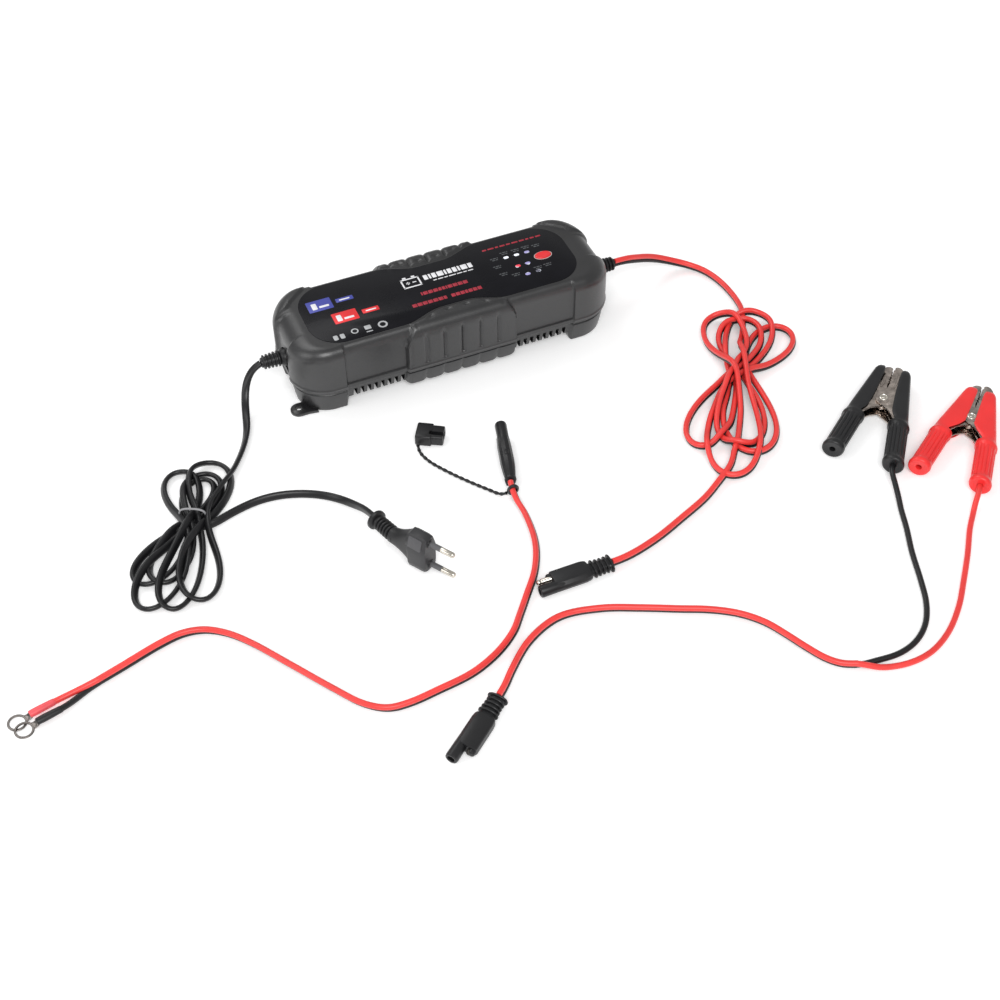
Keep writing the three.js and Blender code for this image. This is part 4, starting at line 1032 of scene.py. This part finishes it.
def connector_body(ribbed):
    """Moulded body: a bellows or a plain taper at the cable, two poles, the shrouded one longer."""
    solids = []
    if ribbed:
        rings = [station(-0.2, 3.6, 2.8)]
        for n in range(5):
            x, wide = 0.1 + 2.95 * n, (6.7, 5.9, 5.9, 6.1, 6.6)[n]
            for dx, spare in ((0, 1.9), (0.12, 0.3), (0.45, 0), (0.95, 0), (1.3, 0.3), (1.45, 1.9)):
                rings.append(station(x + dx, wide - spare, 4.3 - 0.75 * spare, 2.4))
        rings.append(station(15.8, 4.7, 3.3, 2.4))
        solids.append(ring_mesh(rings))
        body = [(14.9, 0.6, 0.72, 0), (15.6, 0.86, 0.86, 0), (17, 0.95, 0.94, 0), (20, 1, 1, 0)]
    else:
        body = [(1.4, 0.5, 0.78, 1.2), (1.9, 0.62, 0.92, 1.1), (3.4, 0.62, 0.94, 1.0), (3.8, 0.57, 0.86, 0.9),
                (8, 0.72, 0.98, 0.6), (13, 0.92, 1.1, 0.2), (18, 1, 1.14, 0), (30, 1, 1.12, 0)]
    body += [(39.5, 1, 1, 0), (40.2, 0.97, 0.95, 0), (40.5, 0.9, 0.86, 0)]
    solids.append(ring_mesh([body_ring(*spot) for spot in body]))
    shroud = [(28, 3.0), (36, 3.9), (49.6, 4.1), (50.6, 3.85), (51, 3.3), (51, 2.5), (50.7, 2.3), (42, 2.3),
              (42, 0.1)]
    solids.append(turned(shroud, y=-POLE, sides=36))
    if ribbed:
        stub = [(39, 2.4), (41.6, 2.4), (42.6, 2.1), (43.1, 1.4), (43.2, 0.4)]
        solids.append(turned(stub, y=4.9, sides=20))
    return merged(solids)


def contact(tip):
    """The other pole's contact: round, with a waist and a domed tip."""
    profile = [(36, 1.9), (tip - 3.4, 1.9), (tip - 3.1, 1.6), (tip - 2.5, 1.6), (tip - 2.2, 1.9),
               (tip - 1.1, 1.85), (tip - 0.4, 1.4), (tip, 0.7)]
    return turned(profile, y=POLE, sides=24)


def make_connector(name, spot, ribbed, tip, look):
    body = add_piece(f"{name}_body", connector_body(ribbed), "connector", name,
                     spot=spot, angle=22)
    pin = add_piece(f"{name}_contact", contact(tip), look, f"{name}_pin",
                    spot=spot, angle=50)
    return [body, pin]


def make_boss():
    """The small oval boss on the ring lead's connector."""
    rings = [level(21, 0, z, 2.6 * share, 1.7 * share, 2, 24)
             for share, z in ((1, 7.0), (1, 7.5), (0.85, 7.75), (0.4, 7.85))]
    points, faces = ring_mesh(rings)
    boss = (points[:, [0, 2, 1]] * [1, -1, 1], faces)
    add_piece("ring_connector_boss", boss, "connector", spot=RING_PLUG, angle=50)


# ------------------------------------------------------------------ cap and tether
CAP = {"place": (-53, -82.5, 4.7), "azimuth": -31}


def make_cap():
    """Block with a raised back edge, and a narrower front with the channel and the bore."""
    rings = [station(x, wide, high, 7) for x, wide, high in
             ((0, 6.7, 3.9), (0.3, 7.15, 4.35), (1, 7.4, 4.6), (10.2, 7.4, 4.6), (10.9, 7.1, 4.4),
              (11.1, 6.3, 4.15), (18.2, 6.2, 4.1), (18.8, 6.0, 3.9), (19, 5.6, 3.5))]
    step = slab(bar_outline(0.6, 8.6, 1.4, 7.2, 0.8), 4.0, 5.5, 0.4)
    channel = slab(bar_outline(9, 24, -3.7, -0.5, 0.5), -1, 10, 0.01)
    bore = turned([(5, 2.4), (30, 2.4)], y=3, sides=24)
    add_piece("push_on_cap", merged([ring_mesh(rings), step]), "connector",
              "ring_connector_cap", spot=CAP, cutters=[channel, bore])


def wire_hoop(line, out, axis, half_wide, half_tall, sides):
    """A closed hoop of wire along line; its section spans `out` at each point, and the hoop's own axis."""
    b = np.linspace(0, 2 * np.pi, sides, endpoint=False)[None, :, None]
    points = line[:, None] + half_wide * np.cos(b) * out[:, None] + half_tall * np.sin(b) * axis
    return points.reshape(-1, 3), grid_faces(len(line), sides, looped=True)


LOOP_POINTS, LOOP_SIDES = 36, 12  # points round the tether's loop, and round its wire


def tube_ring(place, normal, half_wide, half_high, wire):
    """A closed oval hoop of round wire."""
    normal = np.asarray(normal, float) / np.linalg.norm(normal)
    side = np.cross(normal, [0, 0, 1.0])
    side /= np.linalg.norm(side)
    up = np.cross(side, normal)
    a = np.linspace(0, 2 * np.pi, LOOP_POINTS, endpoint=False)[:, None]
    line = np.asarray(place) + half_wide * np.cos(a) * side + half_high * np.sin(a) * up
    return wire_hoop(line, np.cos(a) * side + np.sin(a) * up, normal, wire, wire, LOOP_SIDES)


TETHER_TWIST = 9.0  # millimetres of strap for one full twist
TETHER_FLAT = 0.62  # the strap's thickness as a share of its width


def make_tether():
    loop = tube_ring((-14.4, -158.2, 6.4), (-0.15, -1, -0.25), 3.0, 4.9, 1.15)
    loop = add_piece("tether_loop", loop, "relief", angle=60)
    line = smoothed(catmull(TETHER), 4, TETHER_RADIUS)
    turn = np.arange(len(line)) * (2 * math.pi * STEP / TETHER_TWIST)
    t = tangents(line)
    side = np.cross(t, [0, 0, 1.0])
    lean = np.cos(turn)[:, None] * side + np.sin(turn)[:, None] * np.cross(side, t)
    section = circle(TETHER_RADIUS, 14) * [1.0, TETHER_FLAT]
    add_cord("cap_tether_strap", line, section, lean, "relief", "cap_tether")


# ------------------------------------------------------------------ mains plug
PLUG = {"place": (-87.6, -196.7, 16.5), "azimuth": -57, "pin_gap": 9.4, "pin_length": 19.0, "bend": -14.0}
HEAD_HALF, HEAD_SIDES = 6.9, 96


def head_bevel(z):
    """Half thickness of the plug's head at height z: thickest along a ridge, thin at both edges."""
    return np.interp(z, [-14.9, -13.6, -10, 5, 13.4, 14.9], [2.6, 5.4, 6.5, HEAD_HALF, 4.0, 2.6])


def make_plug():
    """Flat two-pin plug standing on its edge: head, neck, ribbed sleeve bent sideways, end flange."""
    head = [(-30, 4.9, 5.2, 2.2), (-28, 5.0, 5.5, 2.3), (-25, 5.1, 6.2, 2.4), (-22, 5.2, 7.6, 2.6),
            (-19, 5.3, 9.5, 2.9), (-16, 5.5, 11.6, 3.2), (-14.2, 5.7, 12.9, 3.6), (-13.7, 6.6, 14.0, 5),
            (-12.8, 6.9, 14.5, 7), (-3.0, 6.9, 14.9, 7), (-1.6, 6.7, 14.6, 6), (-0.5, 6.3, 14.0, 5),
            (0, 5.9, 13.4, 5)]
    neck_rings = 7
    rings = []
    for x, wide, high, power in head:
        ring = station(x, wide, high, power, sides=HEAD_SIDES)
        if x > -14:
            bevel = head_bevel(ring[:, 2]) * wide / HEAD_HALF
            ring[:, 1] = np.sign(ring[:, 1]) * np.minimum(np.abs(ring[:, 1]), bevel)
        rings.append(ring)
    points, faces = ring_mesh(rings)
    neck_faces = HEAD_SIDES * neck_rings
    looks = [1] * neck_faces + [0] * (len(faces) - neck_faces)
    solids = [(points, faces, looks)]
    for side in (-1, 1):
        outline = [(-12.8, 5.8), (-3.4, 5.4), (-2.8, 6.2), (-2.8, 12.2), (-3.6, 13.0), (-12.0, 13.2),
                   (-12.8, 12.4)]
        points, faces = slab(outline, -1.2, 0.4, 0.2)
        x, z, out = points.T
        points = np.column_stack([x, side * (out + head_bevel(z)), z])
        solids.append((points, [face[::-side] for face in faces], [2] * len(faces)))
    sleeve = [(-2, 5.0), (1, 5.2), *bellows(2.6, 5, 2.6, 5.3, 4.1, 0.05), (15.9, 4.2), (16.3, 6.0),
              (16.8, 6.7), (18.6, 6.8), (19.3, 6.4), (19.5, 5.4), (19.1, 3.2), (18.6, 2.9)]
    points, faces = turned(sleeve, sides=36)
    solids.append((placed(points, (-28, 0, 0), 180 + PLUG["bend"]), faces, [1] * len(faces)))
    collars = [turned([(-1.5, 3.1), (0.1, 3.1), (0.5, 2.9), (0.6, 2.3)], z=s * PLUG["pin_gap"], sides=28)
               for s in (-1, 1)]
    solids += [(*collar, [1] * len(collar[1])) for collar in collars]
    pieces = [add_piece("plug_body", merged(solids), ["plug", "relief", "plug_panel"],
                        "mains_plug", spot=PLUG, angle=38)]
    for number, side in ((1, 1), (2, -1)):
        z, tip = side * PLUG["pin_gap"], PLUG["pin_length"]
        cover = turned([(-3, 1.9), (8.6, 1.9), (9.0, 1.75), (9.0, 1.6)], z=z, sides=24)
        metal = turned([(8.4, 1.7), (9.2, 1.9), (tip - 1.6, 1.95), (tip - 0.7, 1.6), (tip - 0.15, 0.9),
                        (tip, 0.3)], z=z, sides=24)
        pin = merged([cover, (*metal, [1] * len(metal[1]))])
        pieces.append(add_piece(f"plug_pin_{number}", pin, ["pin_sleeve", "nickel"],
                                f"mains_plug_pin_{number}", spot=PLUG))
    return pieces


# ------------------------------------------------------------------ hank tie
def make_tie():
    """A thin wire round the waist of the mains hank, bent flat at the bottom."""
    across = np.array([*MAINS_HANK["across"], 0.0])
    middle = np.array([-214.0, -95.6, 0.0])
    wire, half_wide, high = 0.62, 8.6, 11.4
    oval = soft_oval(half_wide, high / 2, 2.8, 48)
    line = middle + oval[:, :1] * across + np.array([0, 0, 1.0]) * (oval[:, 1:] + high / 2 + wire)
    along = np.array([math.cos(MAINS_AXIS), math.sin(MAINS_AXIS), 0.0])
    ahead = np.roll(line, -1, 0) - np.roll(line, 1, 0)
    out = np.cross(along, ahead / np.linalg.norm(ahead, axis=1)[:, None])
    hoop_mesh = wire_hoop(line, out, along, wire, 1.3 * wire, 10)
    add_piece("hank_tie", hoop_mesh, "tie", "mains_cord_tie", angle=60)


# ------------------------------------------------------------------ ring terminals
RING_OUTER, RING_INNER, RING_THICK = 6.0, 4.6, 1.0
RINGS = {"red": {"place": (-354.6, -209.3, 0.2), "azimuth": 192.4, "look": "sleeve_red"},
         "black": {"place": (-351.9, -217.3, 1.6), "azimuth": 192.4, "look": "relief"}}
BARREL_HEIGHT = 2.2


def make_ring_terminal(color):
    """Ring, tongue and crimp barrel, with an insulating sleeve over the barrel."""
    spot = RINGS[color]
    rings = [station(x, wide, high, power, z=z) for x, wide, high, power, z in (
        (-18.6, 1.5, 1.2, 2, BARREL_HEIGHT), (-18.4, 2.0, 1.7, 2, BARREL_HEIGHT),
        (-10.5, 2.0, 1.7, 2, BARREL_HEIGHT), (-8.6, 2.3, 1.0, 3, 1.2), (-7.2, 2.4, 0.5, 4, 0.5),
        (-5.2, 2.6, 0.5, 4, 0.5))]
    outer, inner, top = RING_OUTER, RING_INNER, RING_THICK
    levels = ((inner, 0.15), (inner + 0.25, 0), (outer - 0.25, 0), (outer, 0.25), (outer, top - 0.25),
              (outer - 0.3, top), (inner + 0.3, top), (inner, top - 0.2))
    terminal = add_piece(f"ring_terminal_{color}_plated", merged([ring_mesh(rings), lathe_up(levels)]),
                         "ring_nickel", f"ring_terminal_{color}", spot=spot)
    profile = [(-24.5, 1.9), (-24.3, 2.15), (-23, 2.3), (-18, 2.45), (-13, 2.55), (-10, 2.45), (-8.4, 2.3),
               (-8.1, 2.1), (-8.2, 1.6)]
    sleeve = add_piece(f"ring_sleeve_{color}", turned(profile, z=BARREL_HEIGHT, sides=28, flat=0.86),
                       spot["look"], spot=spot, angle=50)
    return [terminal, sleeve]


# ------------------------------------------------------------------ battery clamps
CLAMPS = {"black": {"place": (211, -225, 0), "azimuth": 44.5, "look": "grip_black", "wide": False},
          "red": {"place": (254, -263, 0), "azimuth": 42, "look": "grip_red", "wide": True}}
CLAMP_MID = 7.8
PIVOT = 55.0
GRIP_SIDES, GROOVES = 84, 14  # points round a handle, and grooves in it
CHEEKS = {-1: 5.8, 1: 4.4}  # half height of the fixed (-1) and the moving (+1) arm


def arm_line(x):
    """Distance of an arm's axis from the clamp's middle line."""
    return 20.5 - (12 / 89) * x


def mirrored(solid, side):
    """The same solid on the other side of the middle line when side is -1."""
    return np.asarray(solid[0], float) * [1, side, 1], [face[::side] for face in solid[1]]


def clamp_side(color, side):
    """The name that a clamp's fixed (-1) or moving (+1) side starts with, and its body."""
    if side > 0:
        return f"{color}_clamp_moving", f"{color}_clamp_jaw"
    return f"{color}_clamp_fixed", "root"


def grooved(ring, centre, depth):
    """Shallow lengthwise grooves round a handle section."""
    ring = ring.copy()
    v, w = ring[:, 1] - centre, ring[:, 2] - CLAMP_MID
    a = np.arctan2(w, v)
    squeeze = 1 - depth * (0.5 + 0.5 * np.cos(GROOVES * a)) ** 3
    ring[:, 1], ring[:, 2] = centre + v * squeeze, CLAMP_MID + w * squeeze
    return ring


def grip_rings(wide):
    """Open round handle, ring-like shoulder, then a flat cover along the jaw."""
    def collar(x, radius):
        return station(x, radius, radius, 2, arm_line(x), CLAMP_MID, GRIP_SIDES)

    rings = [collar(x, radius) for x, radius in (
        (7, 2.0), (-0.4, 2.1), (-0.6, 2.5), (-0.8, 5.6), (-1.0, 6.2), (-0.8, 6.8), (-0.1, 7.3), (1.4, 7.6),
        (2.8, 7.4), (3.4, 7.0))]
    for x in np.linspace(5, 32, 14):
        depth = 0.11 * float(rise((x - 4) / 2) * rise((33 - x) / 2))
        rings.append(grooved(collar(x, 7.0), arm_line(x), depth))
    rings += [collar(x, radius) for x, radius in ((33.4, 7.1), (34.2, 7.6), (36.0, 7.7), (37.0, 7.4))]
    inner = ([38, 43, 50, 88], [8.2, 5.2, 1.4, 1.4]) if wide else ([38, 46, 62, 88], [8.2, 6.8, 5.4, 4.6])
    slim = 1.8 if wide else 0.0
    outer = ([38, 42, 84, 89], [22.4, 20.8, arm_line(84) + 3.6 - slim, arm_line(89) + 2.2 - slim])
    for x in [38.5, 41, 44, 47, 50, 53, 56, 60, 64, 68, 72, 76, 80, 83, 85.5, 87.2, 88.3, 88.9]:
        low, high = np.interp(x, *inner), np.interp(x, *outer)
        tip = math.sqrt(max(0.0, 1 - max(0, (x - 82) / 7.2) ** 2))
        x = x - (x - 38) * (0.06 if wide else 0)
        half = (high - low) / 2 * (0.45 + 0.55 * tip)
        power = 2 + 1.8 * float(rise((x - 38) / 8))
        rings.append(station(x, half, 7.25 * (0.3 + 0.7 * tip), power, (low + high) / 2, CLAMP_MID,
                             GRIP_SIDES))
    return rings


def make_grip(color, side):
    spot = CLAMPS[color]
    name, body = clamp_side(color, side)
    room = [(37.5, arm_line(37.5) - 3.4), (39, -9), (92, -9), (92, 4.4), (86.8, arm_line(86.8) - 0.8),
            (37.5, arm_line(37.5) + 1.8)]
    pocket = ring_mesh([np.column_stack([room, np.full(6, CLAMP_MID + z)]) for z in (-6.15, 6.15)])
    cover = mirrored(ring_mesh(grip_rings(spot["wide"])), side)
    return add_piece(f"{name}_grip_cover", cover, spot["look"], f"{name}_grip", spot=spot,
                     body=body, angle=45, cutters=[mirrored(pocket, side)])


def jaw_teeth():
    """Zigzag along the biting edge, from the tip back towards the pivot."""
    xs = np.arange(85.6, 71.0, -1.2)
    return [(x, 0.25 if n % 2 else 0.9) for n, x in enumerate(xs)]


def make_arm(color, side):
    """Stamped channel: two cheeks, a spine along the outer edge and a solid jaw tip with teeth."""
    shoulder = arm_line(83.5) - 1
    tip = [(83.5, shoulder), (86.0, arm_line(86.0) - 2.2), (87.8, 5.2), (88.6, 3.2), (88.3, 1.6), (87.4, 0.7)]
    pivot_eye = [(PIVOT + 7, -0.6), (PIVOT + 5, -3.4), (PIVOT + 2.4, -4.8), (PIVOT - 2.4, -4.8),
                 (PIVOT - 5, -3.4), (PIVOT - 7.5, 0.6), (PIVOT - 11, 6.5)]
    cheek = [(4, arm_line(4) + 1.6), *tip, *jaw_teeth(), (70, 0.8), *pivot_eye, (36, arm_line(36) - 3.4),
             (4, arm_line(4) - 3)]
    spine = [(4, arm_line(4) + 1.6), (83.5, shoulder), (83.5, shoulder - 1), (4, arm_line(4) + 0.6)]
    nose = [(74, arm_line(74) - 1), *tip, *jaw_teeth()[:10], (74, 1.3)]
    half = CHEEKS[side]
    solids = []
    pressed = oval_outline(74, 4.3, 8, 1.5, 28)[::-1]
    crest = oval_outline(PIVOT - 1, 0.2, 4.6, 4.0, 28)[::-1]
    for outline, low, high, edge in ((cheek, half - 1, half, 0.18), (cheek, -half, 1 - half, 0.18),
                                     (spine, -half, half, 0.1), (nose, 0.1 - half, half - 0.1, 0.1),
                                     (pressed, half - 0.2, half + 0.55, 0.5),
                                     (crest, half - 0.2, half + 0.4, 0.4)):
        solids.append(mirrored(slab(outline[::-1], CLAMP_MID + low, CLAMP_MID + high, edge), side))
    name, body = clamp_side(color, side)
    return add_piece(f"{name}_arm_stamping", merged(solids), "clamp_nickel", f"{name}_arm",
                     spot=CLAMPS[color], body=body)


def make_pivot(color):
    head = [(0.02, 6.9), (1.2, 6.9), (1.5, 6.5), (1.9, 6.5), (2.3, 6.85), (2.9, 6.7), (3.2, 6.3), (3.2, 5.9),
            (1.8, 5.8)]
    profile = [(r, CLAMP_MID + z) for r, z in head] + [(r, CLAMP_MID - z) for r, z in head[::-1]]
    points, faces = lathe_up(profile, x=PIVOT, count=32)
    pin = (points, [face[::-1] for face in faces])
    return add_piece(f"{color}_clamp_rivet", pin, "nickel", f"{color}_clamp_pivot_pin",
                     spot=CLAMPS[color])


def make_spring(color):
    """Coil round the pivot with one leg to each handle; the moving leg rides with the jaw."""
    turns = np.linspace(0, 2 * np.pi * 3.5, 110)
    coil = np.stack([PIVOT + 3.4 * np.cos(turns + 1.2), 3.4 * np.sin(turns + 1.2),
                     CLAMP_MID - 2.4 + 4.8 * turns / turns[-1]], 1)
    wire = circle(0.65, 10)
    solids = {"coil": [sweep(coil, wire, (0, 0, 1.0))], "moving_leg": []}
    for name, side, lift in (("coil", -1, -2.4), ("moving_leg", 1, 2.4)):
        route = [(PIVOT + 1, side * 3.4, lift), (PIVOT - 4, side * 3.4, lift), (48, side * 5.6, lift),
                 (38, side * (arm_line(38) - 3.2), lift), (32, side * (arm_line(32) - 3.0), lift)]
        line = catmull([(x, y, CLAMP_MID + z) for x, y, z in route], 1.5)
        solids[name].append(sweep(line, wire, (0, 0, 1.0)))
    return [add_piece(f"{color}_clamp_spring_{name}", merged(solids[name]), "clamp_nickel",
                      f"{color}_clamp_spring", spot=CLAMPS[color], body=clamp_side(color, side)[1], angle=60)
            for name, side in (("coil", -1), ("moving_leg", 1))]


def make_clamp(color):
    pieces = [make_grip(color, side) for side in (-1, 1)]
    pieces += [make_arm(color, side) for side in (-1, 1)]
    return [*pieces, make_pivot(color), *make_spring(color)]


def handle_point(color, back):
    """A point on the fixed handle's axis, `back` millimetres behind its open end."""
    x = -1 - back
    return at(CLAMPS[color], [(x, -arm_line(x), CLAMP_MID)])[0].tolist()


# ------------------------------------------------------------------ the leads beyond the connectors
SPLIT_HIGH, SPLIT_LOW = 5.5, 2.1  # the red core leaves the twin lead above the black one


def make_ring_leads():
    run = smoothed(catmull(RING_START + on_floor(RING_RUN, TWIN_LIE)), 4, TWIN_LIE)
    add_twin("ring_terminal_lead", run, "ring_lead")
    for color, route in (("red", RING_WIRE_RED), ("black", RING_WIRE_BLACK)):
        pieces = make_ring_terminal(color)
        line = smoothed(catmull(route), 4, WIRE_LIE)
        add_wire(f"ring_wire_{color}_core", line, color, f"ring_wire_{color}")


def make_clamp_leads():
    run = smoothed(catmull(CLAMP_START + on_floor(CLAMP_RUN, TWIN_LIE)), 4)
    add_twin("clamp_twin_lead", run, "clamp_lead")
    routes = {
        "black": [[118.4, -369.3, SPLIT_LOW], [124.6, -370.9, WIRE_LIE], *on_floor(BLACK_RUN, WIRE_LIE),
                  [217, -261, 2.6], [219.5, -252, 5.6]],
        "red": [[117.8, -370.6, SPLIT_HIGH], [124.5, -374, 4.2], [132, -377.5, 2.4],
                *on_floor(RED_RUN, WIRE_LIE), [258.5, -288, 4.8]],
    }
    for color, route in routes.items():
        pieces = make_clamp(color)
        inside = [handle_point(color, back) for back in (5, 0.5, -8, -24)]
        line = smoothed(catmull(route + inside), 4, WIRE_LIE)
        add_wire(f"clamp_wire_{color}_core", line, color, f"clamp_wire_{color}")


# ------------------------------------------------------------------ pieces kept from the frame
KEPT_LOOKS = {"light_guide": "light_guide", "display_board": "board", "button_switch": "component",
              "circuit_board": "board", "transformer_core": "ferrite", "transformer_winding": "copper",
              "heat_sink": "aluminium", "power_transistor": "component", "bulk_capacitor": "component",
              "output_capacitor": "component", "filter_choke": "copper", "fuse": "ceramic",
              **{f"case_screw_{n}": "steel" for n in range(1, 5)}}


def dress_kept_nodes():
    for name, look in KEPT_LOOKS.items():
        mesh = NODES[name].data
        mesh.materials.clear()
        mesh.materials.append(LOOKS[look])


# ------------------------------------------------------------------ everything together
def build():
    make_camera()
    make_studio()
    make_case()
    make_film()
    make_print()
    make_lamps()
    make_button()
    make_strain_reliefs()
    dress_kept_nodes()
    make_mains_cord(make_plug())
    make_tie()
    make_output_cord(make_connector("output_connector", OUTPUT_PLUG, True, LONG_TIP, "nickel"))
    make_connector("ring_connector", RING_PLUG, False, SHORT_TIP, "dark_pin")
    make_boss()
    make_ring_leads()
    make_cap()
    make_tether()
    make_connector("clamp_connector", CLAMP_PLUG, True, SHORT_TIP, "dark_pin")
    make_clamp_leads()


build()
